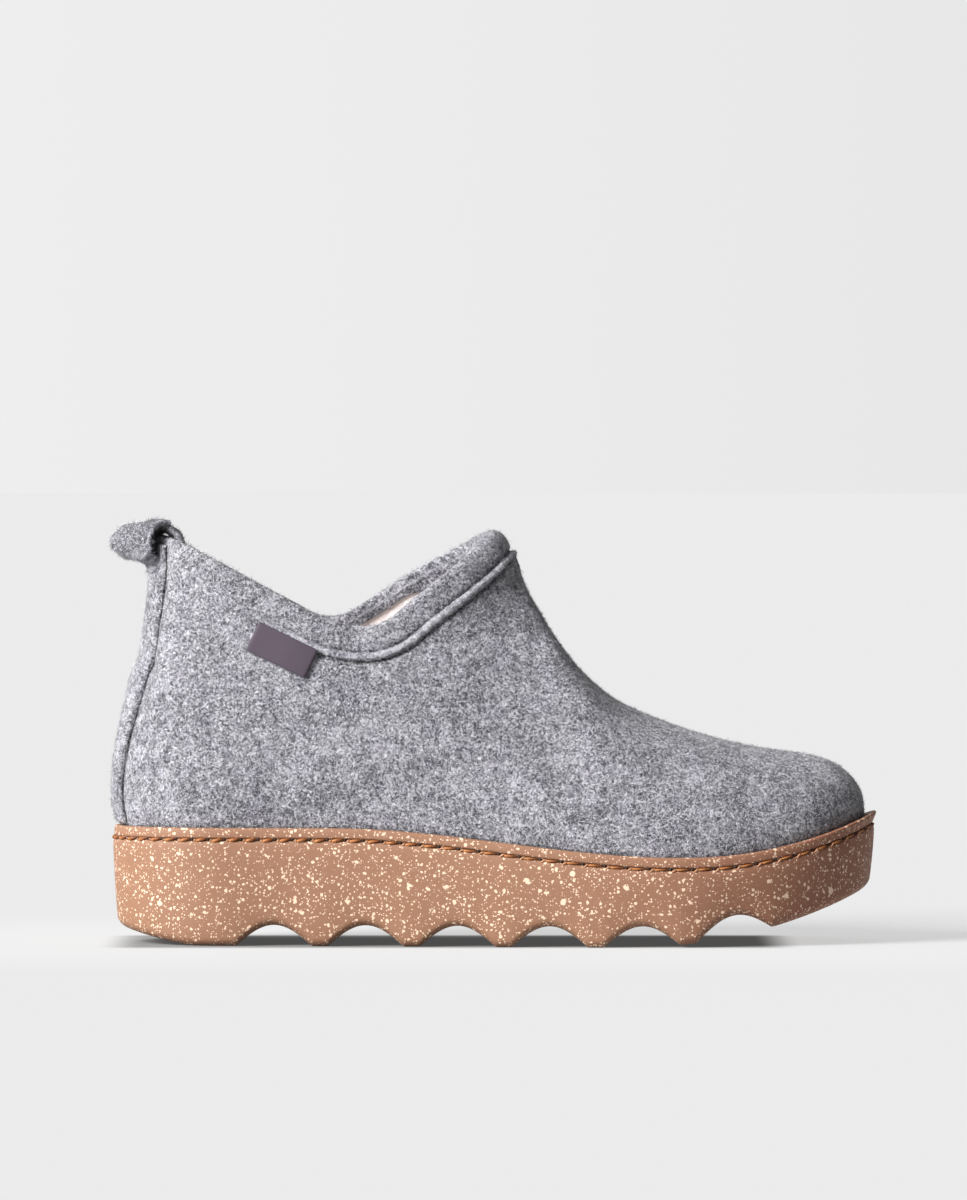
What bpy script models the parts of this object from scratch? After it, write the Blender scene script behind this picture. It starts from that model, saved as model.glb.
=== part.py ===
"""A right felt slipper on a moulded wave sole.

Metres, +Z up. The toe points along +X, the lateral side faces -Y, and the shoe stands on z = 0.
"""

import math

import bmesh
import bpy
import numpy as np

# Sole
SOLE_LENGTH = 0.260
BALL_WIDTH = 0.094
HEEL_HEIGHT = 0.040
FOREFOOT_HEIGHT = 0.0304
TOE_HEIGHT = 0.0445
TOE_SPRING = 0.0199
TOE_TURN = 0.006
HEEL_BEVEL = 0.0065
HEEL_ROUND = 0.154
LATERAL_TOE_ROUND = 0.31
MEDIAL_TOE_ROUND = 0.25
ARCH_PITCH = 0.0311
ARCH_WIDTH = 0.0258
ARCH_HEIGHT = 0.0071
FIRST_ARCH = 0.0555
ARCHES_END = 0.226
LIP_WIDTH = 0.0035
GROOVE_DEPTH = 0.0012
CUP_DEPTH = 0.003

# Felt upper
WALL = 0.003
CLEAR = 0.0003
COLLAR_RISE = 0.100
COLLAR_WIDTH = 0.063
BAND_HEIGHT = 0.011
BEAD_HEIGHT = 0.0011
BAND_CLEARANCE = 0.0011
COUNTER_STEP = 0.0016
COUNTER_RISE = 0.57
COUNTER_FALL = 0.27
COUNTER_SOFTNESS = 0.002
COUNTER_SPREAD = 0.018
TOE_BOX_LENGTH = 0.0205
TOE_BOX_RISE = 0.0195

# Small pieces
INSOLE_THICKNESS = 0.0045
STRIP_WIDTH = 0.029
STRIP_THICKNESS = 0.0022
TAPE_WIDTH = 0.022
TAPE_THICKNESS = 0.0026
LOOP_REACH = 0.0127
LOOP_RISE = 0.0063
LOOP_DROP = 0.0084
LOOP_TURN = math.radians(32)
TAPE_INSIDE = 0.013
TAPE_OUTSIDE = 0.0033
LABEL_WIDTH = 0.0223
LABEL_HEIGHT = 0.0107
LABEL_THICKNESS = 0.0011
LABEL_PLACE = 0.236
LABEL_DROP = -0.001
LABEL_SLOPE = math.radians(25.4)

LATERAL, MEDIAL = -1, 1

# Where each long curve starts and ends, as shares of SOLE_LENGTH from the heel.
LIP_FALL = (0.29, 0.74)
LIP_TOE_RISE = 0.753
BEVEL_END = 0.115
SPRING_START = 0.673
TOE_TURN_START = 0.55
COUNTER_FADE = (0.055, 0.14)
# Where the seam's bead begins behind the label and where it is full, as shares of the way round the collar.
BEAD_START = (0.10, 0.16)
BEAD_FULL = (0.35, 0.50)
BEAD_FAINT = 0.2

# Half widths of the sole before its ends are rounded.
# station: share of SOLE_LENGTH; lateral, medial: shares of BALL_WIDTH.
SOLE_SECTIONS = (
    # station, lateral, medial
    (0.00, 0.350, 0.350),
    (0.15, 0.358, 0.358),
    (0.28, 0.385, 0.372),
    (0.38, 0.413, 0.372),
    (0.48, 0.447, 0.385),
    (0.58, 0.480, 0.420),
    (0.69, 0.500, 0.470),
    (0.80, 0.500, 0.500),
    (1.00, 0.500, 0.500),
)

# The side of the sole as rings from the floor up to the lip's inner edge.
# inset: metres in from the outline; up: metres from the underside; down: metres below the lip.
SOLE_RINGS = (
    # inset, measured from, distance
    (0.0046, "underside", 0.0000),
    (0.0024, "underside", 0.0007),
    (0.0014, "underside", 0.0028),
    (0.0000, "lip", 0.0066),
    (0.0002, "lip", 0.0047),
    (GROOVE_DEPTH, "lip", 0.0044),
    (GROOVE_DEPTH, "lip", 0.0037),
    (0.0004, "lip", 0.0034),
    (0.0005, "lip", 0.0007),
    (0.0011, "lip", 0.0000),
)

# The collar, from the back of the heel round to the front of the opening.
# way: share of the way to the front; x: shares of SOLE_LENGTH; half: share of COLLAR_WIDTH;
# up: shares of COLLAR_RISE above the heel's lip; flare: outward lean of the band; lean: of the wall below it;
# along, rise: shares of the wall's height; across: share of the reach to the foot;
# belly: share of BALL_WIDTH.
COLLAR_ROWS = (
    # way, lateral x, medial x, half, lateral up, medial up, flare, lean, along, across, rise, belly
    (0.000, 0.0573, 0.0573, 0.000, 0.980, 0.980, 0.05, 0.00, 0.385, 0.00, 0.28, 0.078),
    (0.031, 0.0646, 0.0646, 0.140, 0.976, 0.976, 0.05, 0.01, 0.380, 0.00, 0.29, 0.074),
    (0.078, 0.0865, 0.0865, 0.270, 0.958, 0.953, 0.06, 0.03, 0.370, 0.00, 0.31, 0.060),
    (0.156, 0.1270, 0.1250, 0.365, 0.908, 0.900, 0.07, 0.06, 0.350, 0.00, 0.33, 0.045),
    (0.266, 0.1810, 0.1730, 0.436, 0.835, 0.830, 0.08, 0.10, 0.330, 0.00, 0.32, 0.034),
    (0.375, 0.2380, 0.2230, 0.476, 0.757, 0.755, 0.08, 0.12, 0.310, 0.00, 0.31, 0.030),
    (0.469, 0.2880, 0.2650, 0.497, 0.693, 0.708, 0.08, 0.14, 0.300, 0.00, 0.30, 0.027),
    (0.547, 0.3270, 0.2950, 0.500, 0.674, 0.703, 0.08, 0.15, 0.300, 0.00, 0.30, 0.025),
    (0.641, 0.3635, 0.3350, 0.487, 0.698, 0.756, 0.10, 0.16, 0.300, 0.00, 0.29, 0.022),
    (0.734, 0.3980, 0.3800, 0.456, 0.770, 0.832, 0.12, 0.18, 0.290, 0.01, 0.28, 0.018),
    (0.828, 0.4365, 0.4280, 0.397, 0.847, 0.902, 0.18, 0.22, 0.260, 0.04, 0.27, 0.015),
    (0.906, 0.4710, 0.4680, 0.297, 0.920, 0.956, 0.32, 0.28, 0.210, 0.11, 0.26, 0.013),
    (0.961, 0.4945, 0.4935, 0.160, 0.980, 0.988, 0.60, 0.35, 0.165, 0.20, 0.25, 0.012),
    (1.000, 0.5020, 0.5020, 0.000, 1.000, 1.000, 0.82, 0.38, 0.137, 0.30, 0.25, 0.012),
)
WAY, RIM_X, RIM_HALF, RIM_UP, FLARE, LEAN = 0, {LATERAL: 1, MEDIAL: 2}, 3, {LATERAL: 4, MEDIAL: 5}, 6, 7
COLLAR_SHARES = (8, 9, 10, 11)

# The ridge of the instep, from the front of the collar to the end of the toe box.
# way: share of the way along the foot line; run, height: shares of the ridge's own length and height;
# along, across: shares of the reach forward and sideways; rise: share of the wall's height;
# belly: share of BALL_WIDTH.
RIDGE_ROWS = (
    # way, run, height, along, across, rise, belly
    (0.000, 0.000, 1.000, 0.18, 0.30, 0.25, 0.012),
    (0.070, 0.040, 0.836, 0.15, 0.40, 0.26, 0.012),
    (0.140, 0.100, 0.670, 0.12, 0.48, 0.28, 0.014),
    (0.236, 0.190, 0.467, 0.10, 0.55, 0.32, 0.016),
    (0.347, 0.320, 0.294, 0.10, 0.60, 0.37, 0.019),
    (0.472, 0.480, 0.184, 0.10, 0.66, 0.42, 0.021),
    (0.611, 0.650, 0.098, 0.14, 0.70, 0.46, 0.020),
    (0.750, 0.800, 0.047, 0.25, 0.74, 0.50, 0.018),
    (0.875, 0.920, 0.018, 0.40, 0.78, 0.52, 0.014),
    (0.958, 0.985, 0.004, 0.55, 0.82, 0.54, 0.011),
    (1.000, 1.000, 0.000, 0.61, 0.85, 0.54, 0.010),
)
RIDGE_RUN, RIDGE_HEIGHT = 1, 2
RIDGE_SHARES = (3, 4, 5, 6)
COLLAR_FRONT = 0.64
TOE_SLOPE_FROM = 0.93

# Rows of the band above the seam.
# share: of the way from seam to rim; proud: how far it stands out, as a share of BEAD_HEIGHT.
BAND_ROWS = (
    # share, proud
    (0.00, 0.15),
    (0.10, 1.00),
    (0.22, 0.45),
    (0.34, 0.05),
    (0.66, 0.00),
    (0.93, 0.00),
    (1.00, -0.35),
)
# Rows of the wall, as shares of each section: closest where the heel counter's top edge makes a step.
# The row at -1 is the bottom of the straight hem that stands in the sole's cup.
BODY_ROWS = (-1.0, 0.0, 0.09, 0.19, 0.30, 0.42, 0.53, 0.62, 0.68, 0.73, 0.81, 0.90, 1.0)

# Half width of the heel strip by height: shares of its height and of STRIP_WIDTH.
STRIP_ROWS = (
    # height, half
    (0.00, 0.36),
    (0.25, 0.40),
    (0.45, 0.48),
    (0.62, 0.53),
    (0.80, 0.49),
    (1.00, 0.47),
)

# The pull loop's centre line where it hangs free, in the plane of the heel.
# back: share of LOOP_REACH behind the rim; up: share of LOOP_RISE above it;
# down: share of LOOP_DROP below it; cup: how far the tape is curved to the collar.
LOOP_ROWS = (
    # back, up, down, cup
    (0.00, 0.84, 0.00, 0.1),
    (0.50, 1.00, 0.00, 0.0),
    (0.89, 0.57, 0.00, 0.0),
    (1.00, 0.00, 0.14, 0.0),
    (0.89, 0.00, 0.83, 0.0),
    (0.50, 0.00, 1.00, 0.2),
)
# How far behind the rim the loop begins to turn and is fully turned, in metres.
LOOP_TURNS = (0.0042, 0.0112)


def smoothstep(start, end, value):
    """Zero before start, one after end, and an even S between."""
    share = np.clip((np.asarray(value, float) - start) / (end - start), 0.0, 1.0)
    return share * share * (3 - 2 * share)


def through(keys, values, at, level=(False, False)):
    """A smooth curve through a table's column, level at an end where it meets its own mirror image."""
    keys = np.asarray(keys, float)
    values = np.asarray(values, float)
    at = np.asarray(at, float)
    slope = np.gradient(values, keys)
    if level[0]:
        slope[0] = 0.0
    if level[1]:
        slope[-1] = 0.0
    i = np.clip(np.searchsorted(keys, at, side="right") - 1, 0, len(keys) - 2)
    gap = keys[i + 1] - keys[i]
    t = (at - keys[i]) / gap
    start = (2 * t**3 - 3 * t**2 + 1) * values[i] + (t**3 - 2 * t**2 + t) * gap * slope[i]
    end = (3 * t**2 - 2 * t**3) * values[i + 1] + (t**3 - t**2) * gap * slope[i + 1]
    return start + end


def round_key(station):
    """A station from heel to toe as an angle, so that curves turn evenly round both ends."""
    return np.arccos(np.clip(1 - 2 * np.asarray(station, float), -1.0, 1.0)) / math.pi


def unit(vectors):
    return vectors / np.linalg.norm(vectors, axis=-1, keepdims=True)


def column(rows, index):
    return [row[index] for row in rows]


# Sole: its outline and its two height lines


def arch_centres():
    """Middles of the arches under the sole, as many as fit before the toe."""
    room = ARCHES_END - FIRST_ARCH - ARCH_WIDTH / 2
    return [FIRST_ARCH + k * ARCH_PITCH for k in range(int(room / ARCH_PITCH) + 1)]


def stations(points_per_arch, every=1):
    """Shares of the length: close together round both ends, and on each arch and lug between."""
    centres = arch_centres()
    first = centres[0] - ARCH_WIDTH / 2
    last = centres[-1] + ARCH_WIDTH / 2
    heel = first * (1 - np.cos(np.linspace(0, math.pi / 2, 10)))
    toe = last + (SOLE_LENGTH - last) * np.sin(np.linspace(0, math.pi / 2, 11))
    spread = ARCH_WIDTH / 2 * np.linspace(-1, 1, points_per_arch)[::every]
    middle = np.concatenate([centre + spread for centre in centres])
    return np.unique(np.round(np.concatenate([heel, middle, toe]) / SOLE_LENGTH, 6))


def sole_edge(station, side):
    """Half outline: the table's width, with an ellipse at the heel and one at the turned toe."""
    station = np.asarray(station, float)
    keys = column(SOLE_SECTIONS, 0)
    half = BALL_WIDTH * through(keys, column(SOLE_SECTIONS, 1 if side == LATERAL else 2), station)
    toe_round = LATERAL_TOE_ROUND if side == LATERAL else MEDIAL_TOE_ROUND
    behind = np.clip((HEEL_ROUND - station) / HEEL_ROUND, 0.0, 1.0)
    ahead = np.clip((station - 1 + toe_round) / toe_round, 0.0, 1.0)
    width = side * half * np.sqrt(1 - behind**2)
    centre = TOE_TURN * smoothstep(TOE_TURN_START, 1.0, station)
    turned = centre * ahead
    return turned + (width - turned) * np.sqrt(1 - ahead**2)


def outline(station, side, inset):
    """Points (x, y) of one half of the outline, moved inward along its normal, and that normal."""
    station = np.asarray(station, float)
    angle = np.clip(round_key(station), 1e-4, 1 - 1e-4)
    step = 1e-4
    before, after = (0.5 * (1 - np.cos(math.pi * (angle + d))) for d in (-step, step))
    run = np.stack([SOLE_LENGTH * (after - before), sole_edge(after, side) - sole_edge(before, side)], -1)
    normal = unit(np.stack([-run[:, 1], run[:, 0]], -1) * side)
    normal[station <= 0] = (-1.0, 0.0)
    normal[station >= 1] = (1.0, 0.0)
    edge = np.stack([SOLE_LENGTH * station, sole_edge(station, side)], -1)
    return edge - inset * normal, normal


def lip_height(x):
    """Top of the sole's edge: high at the heel, lowest under the ball, and turned up at the toe."""
    share = np.asarray(x, float) / SOLE_LENGTH
    heel = (HEEL_HEIGHT - FOREFOOT_HEIGHT) * (1 - smoothstep(*LIP_FALL, share))
    toe = (TOE_HEIGHT - FOREFOOT_HEIGHT) * np.clip((share - LIP_TOE_RISE) / (1 - LIP_TOE_RISE), 0, None) ** 2
    return FOREFOOT_HEIGHT + heel + toe


def underside_height(x):
    """Underside: a bevel at the heel, a spring at the toe, and a row of half-cosine arches."""
    x = np.asarray(x, float)
    share = x / SOLE_LENGTH
    height = HEEL_BEVEL * np.clip(1 - share / BEVEL_END, 0, None) ** 1.4
    height = height + TOE_SPRING * np.clip((share - SPRING_START) / (1 - SPRING_START), 0, None) ** 2
    for centre in arch_centres():
        across = np.clip(np.abs(x - centre) / ARCH_WIDTH, 0, 0.5)
        height = height + ARCH_HEIGHT * np.cos(math.pi * across)
    return height


def ring(station, inset, height):
    """A closed loop round the sole: lateral half from heel to toe, then medial half back."""
    lateral, _ = outline(station, LATERAL, inset)
    medial, _ = outline(station, MEDIAL, inset)
    loop = np.concatenate([lateral, medial[-2:0:-1]])
    return np.column_stack([loop, height(loop[:, 0])])


def loop_faces(low, high):
    """Quads between two loops of vertex numbers."""
    return [
        (low[i], low[(i + 1) % len(low)], high[(i + 1) % len(high)], high[i])
        for i in range(len(low))
    ]


def cap_faces(loop):
    """Strips straight across a loop, from its lateral half to its medial half."""
    half = len(loop) // 2
    faces = [(loop[0], loop[1], loop[-1]), (loop[half], loop[half - 1], loop[half + 1])]
    for i in range(1, half - 1):
        faces.append((loop[i], loop[i + 1], loop[-i - 1], loop[-i]))
    return faces


def stacked(rings):
    """Points and faces of a solid made of rings from bottom to top, with a cap on both ends."""
    count = len(rings[0])
    loops = [list(range(k * count, (k + 1) * count)) for k in range(len(rings))]
    faces = cap_faces(loops[0]) + cap_faces(loops[-1])
    for low, high in zip(loops, loops[1:]):
        faces += loop_faces(low, high)
    return np.concatenate(rings), faces


# Felt upper: the collar, the ridge and the wall between them and the sole


def front_station(upper_stations):
    """The station whose section meets the front of the collar."""
    return upper_stations[np.argmin(np.abs(upper_stations - COLLAR_FRONT))]


def collar_rim(way, front, side):
    """Points on the collar's top edge, as shares of the way from heel to front."""
    keys = round_key(np.array(column(COLLAR_ROWS, WAY)) * front)
    at = round_key(np.asarray(way) * front)
    x = SOLE_LENGTH * through(keys, column(COLLAR_ROWS, RIM_X[side]), at, (True, True))
    y = side * COLLAR_WIDTH * through(keys, column(COLLAR_ROWS, RIM_HALF), at)
    z = HEEL_HEIGHT + COLLAR_RISE * through(keys, column(COLLAR_ROWS, RIM_UP[side]), at, (True, True))
    return np.stack([x, y, z], -1)


def collar_frame(way, front, side):
    """Rim, its forward tangent, and the band's and the wall's directions down from it."""
    way = np.asarray(way, float)
    step = 1e-3
    rim = collar_rim(way, front, side)
    ahead, behind = (collar_rim(np.clip(way + d, 0, 1), front, side) for d in (step, -step))
    run = ahead - behind
    run[way <= 0] = (0.0, side, 0.0)
    run[way >= 1] = (0.0, -side, 0.0)
    forward = unit(run)
    plan = forward.copy()
    plan[:, 2] = 0.0
    plan = unit(plan)
    outward = np.stack([-plan[:, 1], plan[:, 0], 0 * way], -1) * side
    keys = round_key(np.array(column(COLLAR_ROWS, WAY)) * front)
    downs = []
    for index in (FLARE, LEAN):
        lean = through(keys, column(COLLAR_ROWS, index), round_key(way * front))
        down = lean[:, None] * outward - np.array([0.0, 0.0, 1.0])
        down -= (down * forward).sum(-1, keepdims=True) * forward
        downs.append(unit(down))
    return rim, forward, downs[0], downs[1]


def foot_line(station, side):
    """Where the felt comes out of the cup of the sole, and the outward direction there."""
    edge, normal = outline(station, side, LIP_WIDTH)
    height = lip_height(edge[:, 0])
    return np.column_stack([edge, height]), np.column_stack([normal, 0 * height])


def ridge_points(way, front):
    """Points on the ridge of the instep, from the seam's front to the end of the toe box."""
    rim, _, band_down, _ = collar_frame(np.array([1.0]), front, LATERAL)
    start = (rim + BAND_HEIGHT * band_down)[0]
    toe, _ = foot_line(np.array([1.0]), LATERAL)
    end_x = toe[0, 0] - TOE_BOX_LENGTH
    end_z = TOE_HEIGHT + TOE_BOX_RISE
    keys = round_key(front + (1 - front) * np.array(column(RIDGE_ROWS, WAY)))
    at = round_key(front + (1 - front) * np.asarray(way))
    run = through(keys, column(RIDGE_ROWS, RIDGE_RUN), at, (False, True))
    height = through(keys, column(RIDGE_ROWS, RIDGE_HEIGHT), at, (False, True))
    x = start[0] + (end_x - start[0]) * run
    y = TOE_TURN * smoothstep(0.1, 1.0, run)
    return np.stack([x, y, end_z + (start[2] - end_z) * height], -1)


def sections(station, front, side):
    """Four control points for each section of the wall, from the foot line up to the seam or the ridge."""
    station = np.asarray(station, float)
    foot, outward = foot_line(station, side)
    top = np.empty_like(foot)
    shoulder = np.empty_like(foot)
    shares = np.empty((len(station), 4))
    collar = station < front
    way = station[collar] / front
    keys = round_key(np.array(column(COLLAR_ROWS, WAY)) * front)
    for k, index in enumerate(COLLAR_SHARES):
        shares[collar, k] = through(keys, column(COLLAR_ROWS, index), round_key(station[collar]))
    if collar.any():
        rim, forward, band_down, wall_down = collar_frame(way, front, side)
        seam = rim + BAND_HEIGHT * band_down
        tall = (seam[:, 2] - foot[collar, 2])[:, None]
        reach = np.abs(foot[collar, 1] - seam[:, 1])[:, None]
        top[collar] = seam
        down = shares[collar, :1] * tall * wall_down
        shoulder[collar] = seam + down - shares[collar, 1:2] * reach * forward
    ridge = ~collar
    way = (station[ridge] - front) / (1 - front)
    keys = round_key(front + (1 - front) * np.array(column(RIDGE_ROWS, WAY)))
    for k, index in enumerate(RIDGE_SHARES):
        shares[ridge, k] = through(keys, column(RIDGE_ROWS, index), round_key(station[ridge]))
    if ridge.any():
        points = ridge_points(way, front)
        step = 0.002
        near = np.clip(way, step, TOE_SLOPE_FROM)
        slope = ridge_points(near + step, front) - ridge_points(near - step, front)
        slope = slope / slope[:, :1]
        ahead = (foot[ridge, 0] - points[:, 0])[:, None]
        aside = foot[ridge, 1] - points[:, 1]
        top[ridge] = points
        shoulder[ridge] = points + shares[ridge, :1] * ahead * slope
        shoulder[ridge, 1] += shares[ridge, 1] * aside
    tall = top[:, 2:] - foot[:, 2:]
    belly = foot + BALL_WIDTH * shares[:, 3:] * outward
    belly[:, 2:] += shares[:, 2:3] * tall
    return foot, belly, shoulder, top, outward


def wall_grid(station, front, side, rows):
    """Points of the wall: each section is a cubic curve above the lip and a straight hem below it."""
    foot, belly, shoulder, top, outward = sections(station, front, side)
    rows = np.asarray(rows, float)
    t = np.clip(rows, 0.0, 1.0)[None, :, None]
    grid = foot[:, None] * (1 - t) ** 3 + 3 * belly[:, None] * t * (1 - t) ** 2
    grid = grid + 3 * shoulder[:, None] * t**2 * (1 - t) + top[:, None] * t**3
    grid[..., 2] += np.minimum(rows, 0.0) * (CUP_DEPTH - CLEAR)
    return grid + counter_bulge(grid)[..., None] * outward[:, None]


def counter_bulge(grid):
    """The heel counter under the felt: the wall stands out below its top edge and in above it."""
    x, z = grid[..., 0], grid[..., 2]
    above = z - (HEEL_HEIGHT + COUNTER_RISE * COLLAR_RISE - COUNTER_FALL * x)
    fade = 1 - smoothstep(*COUNTER_FADE, x / SOLE_LENGTH)
    fade = fade * np.exp(-np.abs(above) / COUNTER_SPREAD)
    return -COUNTER_STEP / 2 * fade * np.tanh(above / COUNTER_SOFTNESS)


def band_grid(way, front, side):
    """Points of the folded band between the seam and the rim, with the seam's bead along its foot."""
    rim, forward, band_down, _ = collar_frame(way, front, side)
    proud = unit(np.cross(forward, band_down)) * side
    bead = BEAD_FAINT * smoothstep(*BEAD_START, way) + (1 - BEAD_FAINT) * smoothstep(*BEAD_FULL, way)
    columns = []
    for share, height in BAND_ROWS:
        lift = height * BEAD_HEIGHT * np.where(height < 0, 1.0, bead)
        columns.append(rim + BAND_HEIGHT * (1 - share) * band_down + lift[:, None] * proud)
    return np.stack(columns, 1)


def grid_faces(rows, columns, start, turned):
    """Quads of a grid of points whose numbers begin at start, facing either way."""
    faces = []
    for i in range(rows - 1):
        for j in range(columns - 1):
            a = start + i * columns + j
            quad = (a, a + columns, a + columns + 1, a + 1)
            faces.append(quad[::-1] if turned else quad)
    return faces


# Objects


def material(name, colour, roughness):
    """A plain finish with one colour."""
    made = bpy.data.materials.new(name)
    made.use_nodes = True
    shader = made.node_tree.nodes["Principled BSDF"]
    shader.inputs["Base Color"].default_value = (*colour, 1.0)
    shader.inputs["Roughness"].default_value = roughness
    shader.inputs["Metallic"].default_value = 0.0
    return made


def new_object(name, points, faces, finish, closed=True):
    """A mesh object with its doubles merged. A closed mesh has its faces turned outward."""
    mesh = bpy.data.meshes.new(name)
    mesh.from_pydata([tuple(p) for p in points], [], faces)
    shape = bmesh.new()
    shape.from_mesh(mesh)
    bmesh.ops.remove_doubles(shape, verts=shape.verts, dist=1e-6)
    if closed:
        bmesh.ops.recalc_face_normals(shape, faces=shape.faces)
    shape.to_mesh(mesh)
    shape.free()
    mesh.shade_smooth()
    mesh.set_sharp_from_angle(angle=math.radians(40))
    made = bpy.data.objects.new(name, mesh)
    made.data.materials.append(finish)
    bpy.context.scene.collection.objects.link(made)
    return made


def sheet_solid(name, inner, outer, finish):
    """A closed plate between two grids of points with the same rows and columns."""
    rows, columns = inner.shape[:2]
    count = rows * columns
    points = np.concatenate([inner.reshape(-1, 3), outer.reshape(-1, 3)])
    faces = grid_faces(rows, columns, 0, True) + grid_faces(rows, columns, count, False)
    border = [i * columns for i in range(rows)]
    border += [(rows - 1) * columns + j for j in range(1, columns)]
    border += [i * columns + columns - 1 for i in range(rows - 2, -1, -1)]
    border += [j for j in range(columns - 2, 0, -1)]
    faces += loop_faces(border, [number + count for number in border])
    return new_object(name, points, faces, finish)


def make_sole():
    """The moulded sole: waves below, a stitched groove under the lip, and a shallow cup for the felt."""
    along = stations(9)
    rings = []
    for inset, base, distance in SOLE_RINGS:
        if base == "underside":
            rings.append(ring(along, inset, lambda x, d=distance: underside_height(x) + d))
        else:
            rings.append(ring(along, inset, lambda x, d=distance: lip_height(x) - d))
    rim = LIP_WIDTH - CLEAR
    rings.append(ring(along, rim, lip_height))
    rings.append(ring(along, rim, lambda x: lip_height(x) - CUP_DEPTH))
    finish = material("speckled_rubber", (0.42, 0.21, 0.11), 0.7)
    return new_object("sole", *stacked(rings), finish)


def make_insole(along):
    """A footbed that follows the cup inside the felt."""
    inset = LIP_WIDTH + WALL + 2 * CLEAR
    floor = CLEAR - CUP_DEPTH
    rings = [
        ring(along, inset, lambda x: lip_height(x) + floor),
        ring(along, inset, lambda x: lip_height(x) + floor + 0.7 * INSOLE_THICKNESS),
        ring(along, inset + 0.3 * INSOLE_THICKNESS, lambda x: lip_height(x) + floor + INSOLE_THICKNESS),
    ]
    finish = material("fleece", (0.75, 0.62, 0.55), 0.95)
    return new_object("insole", *stacked(rings), finish)


def make_upper(along, front):
    """The felt wall as one sheet, given its thickness inward."""
    points, faces, count = [], [], 0
    rows = np.array(BODY_ROWS)
    way = along[along <= front] / front
    for side in (LATERAL, MEDIAL):
        for grid in (wall_grid(along, front, side, rows), band_grid(way, front, side)):
            if grid.shape[1] == len(BAND_ROWS):
                grid[:, 0] = wall_grid(along[along <= front], front, side, [1.0])[:, 0]
            faces += grid_faces(grid.shape[0], grid.shape[1], count, side == MEDIAL)
            points.append(grid.reshape(-1, 3))
            count += grid.shape[0] * grid.shape[1]
    finish = material("grey_felt", (0.30, 0.30, 0.33), 0.95)
    upper = new_object("upper", np.concatenate(points), faces, finish, closed=False)
    wall = upper.modifiers.new("wall", "SOLIDIFY")
    wall.thickness = WALL
    wall.offset = -1
    wall.use_even_offset = True
    wall.use_quality_normals = True
    return upper


def strip_line(rows, share, front, gap):
    """Points across the heel at each row of the wall, share of the half width from the middle, gap off it."""
    reach = np.linspace(0, 0.16, 60)
    lines = {side: wall_grid(reach, front, side, rows) for side in (LATERAL, MEDIAL)}
    middle = lines[LATERAL][0]
    lowest, highest = middle[0, 2], middle[-1, 2]
    half = STRIP_WIDTH * through(
        column(STRIP_ROWS, 0), column(STRIP_ROWS, 1), (middle[:, 2] - lowest) / (highest - lowest)
    )
    placed = []
    for row in range(len(rows)):
        line = np.concatenate([lines[LATERAL][:0:-1, row], lines[MEDIAL][:, row]])
        length = np.concatenate([[0], np.cumsum(np.linalg.norm(np.diff(line, axis=0), axis=1))])
        at = length[len(reach) - 1] + share * half[row]
        curve = np.stack([np.interp(at, length, line[:, k]) for k in range(3)], -1)
        run = np.gradient(curve[:, :2], axis=0)
        outward = unit(np.stack([-run[:, 1], run[:, 0]], -1))
        curve[:, :2] += gap * outward
        placed.append(curve)
    return np.stack(placed)


def make_heel_strip(front):
    """The felt strip up the back of the heel, from the lip to just under the loop."""
    fine = np.linspace(0, 1, 200)
    profile = wall_grid(np.array([0.0]), front, LATERAL, fine)[0, :, 2]
    bottom = HEEL_HEIGHT + 2 * CLEAR
    top = loop_base_height() - CLEAR
    ends = np.interp([bottom, top], profile, fine)
    inside = [row for row in BODY_ROWS if ends[0] + 0.01 < row < ends[1] - 0.01]
    rows = np.array([ends[0], *inside, ends[1]])
    share = np.linspace(-1, 1, 9)
    gap = 1.3 * CLEAR
    inner = strip_line(rows, share, front, gap)
    edge = 1 - 0.25 * np.abs(share) ** 6
    full = strip_line(rows, share, front, gap + STRIP_THICKNESS)
    outer = inner + (full - inner) * edge[None, :, None]
    finish = material("felt_strip", (0.31, 0.31, 0.34), 0.95)
    return sheet_solid("heel_strip", inner, outer, finish)


def loop_base_height():
    """Height of the outer end of the loop's tape, on the heel below the rim."""
    rim = HEEL_HEIGHT + COLLAR_RISE * COLLAR_ROWS[0][RIM_UP[LATERAL]]
    return rim - LOOP_DROP - TAPE_OUTSIDE


def loop_path(front):
    """Centre line of the tape in the plane of the heel, from inside the collar over the rim and round."""
    rim, _, band_down, _ = collar_frame(np.array([0.0]), front, LATERAL)
    back, top = rim[0, 0], rim[0, 2]
    half = TAPE_THICKNESS / 2
    inside = back + WALL + BAND_CLEARANCE + CLEAR + half
    below = back + (top - loop_base_height()) * band_down[0, 0] / -band_down[0, 2]
    outside = below - 1.3 * CLEAR - half
    # x, z, cup
    spine = [(inside, top - TAPE_INSIDE, 1.0), (inside, top - 0.3 * TAPE_INSIDE, 1.0)]
    spine += [(inside - half / 2, top + half, 0.65)]
    for away, up, down, cup in LOOP_ROWS:
        height = up * (LOOP_RISE - half) - down * (LOOP_DROP - half)
        spine.append((back - away * (LOOP_REACH - half), top + height, cup))
    spine += [(outside - half / 2, top - LOOP_DROP, 0.8)]
    spine += [(outside, loop_base_height() + 0.6 * TAPE_OUTSIDE, 1.0), (outside, loop_base_height(), 1.0)]
    spine = np.array(spine)
    steps = np.linalg.norm(np.diff(spine[:, :2], axis=0), axis=1)
    key = np.concatenate([[0], np.cumsum(steps)])
    at = np.linspace(0, key[-1], 34)
    return np.stack([through(key, spine[:, k], at) for k in range(3)], -1), back


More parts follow.
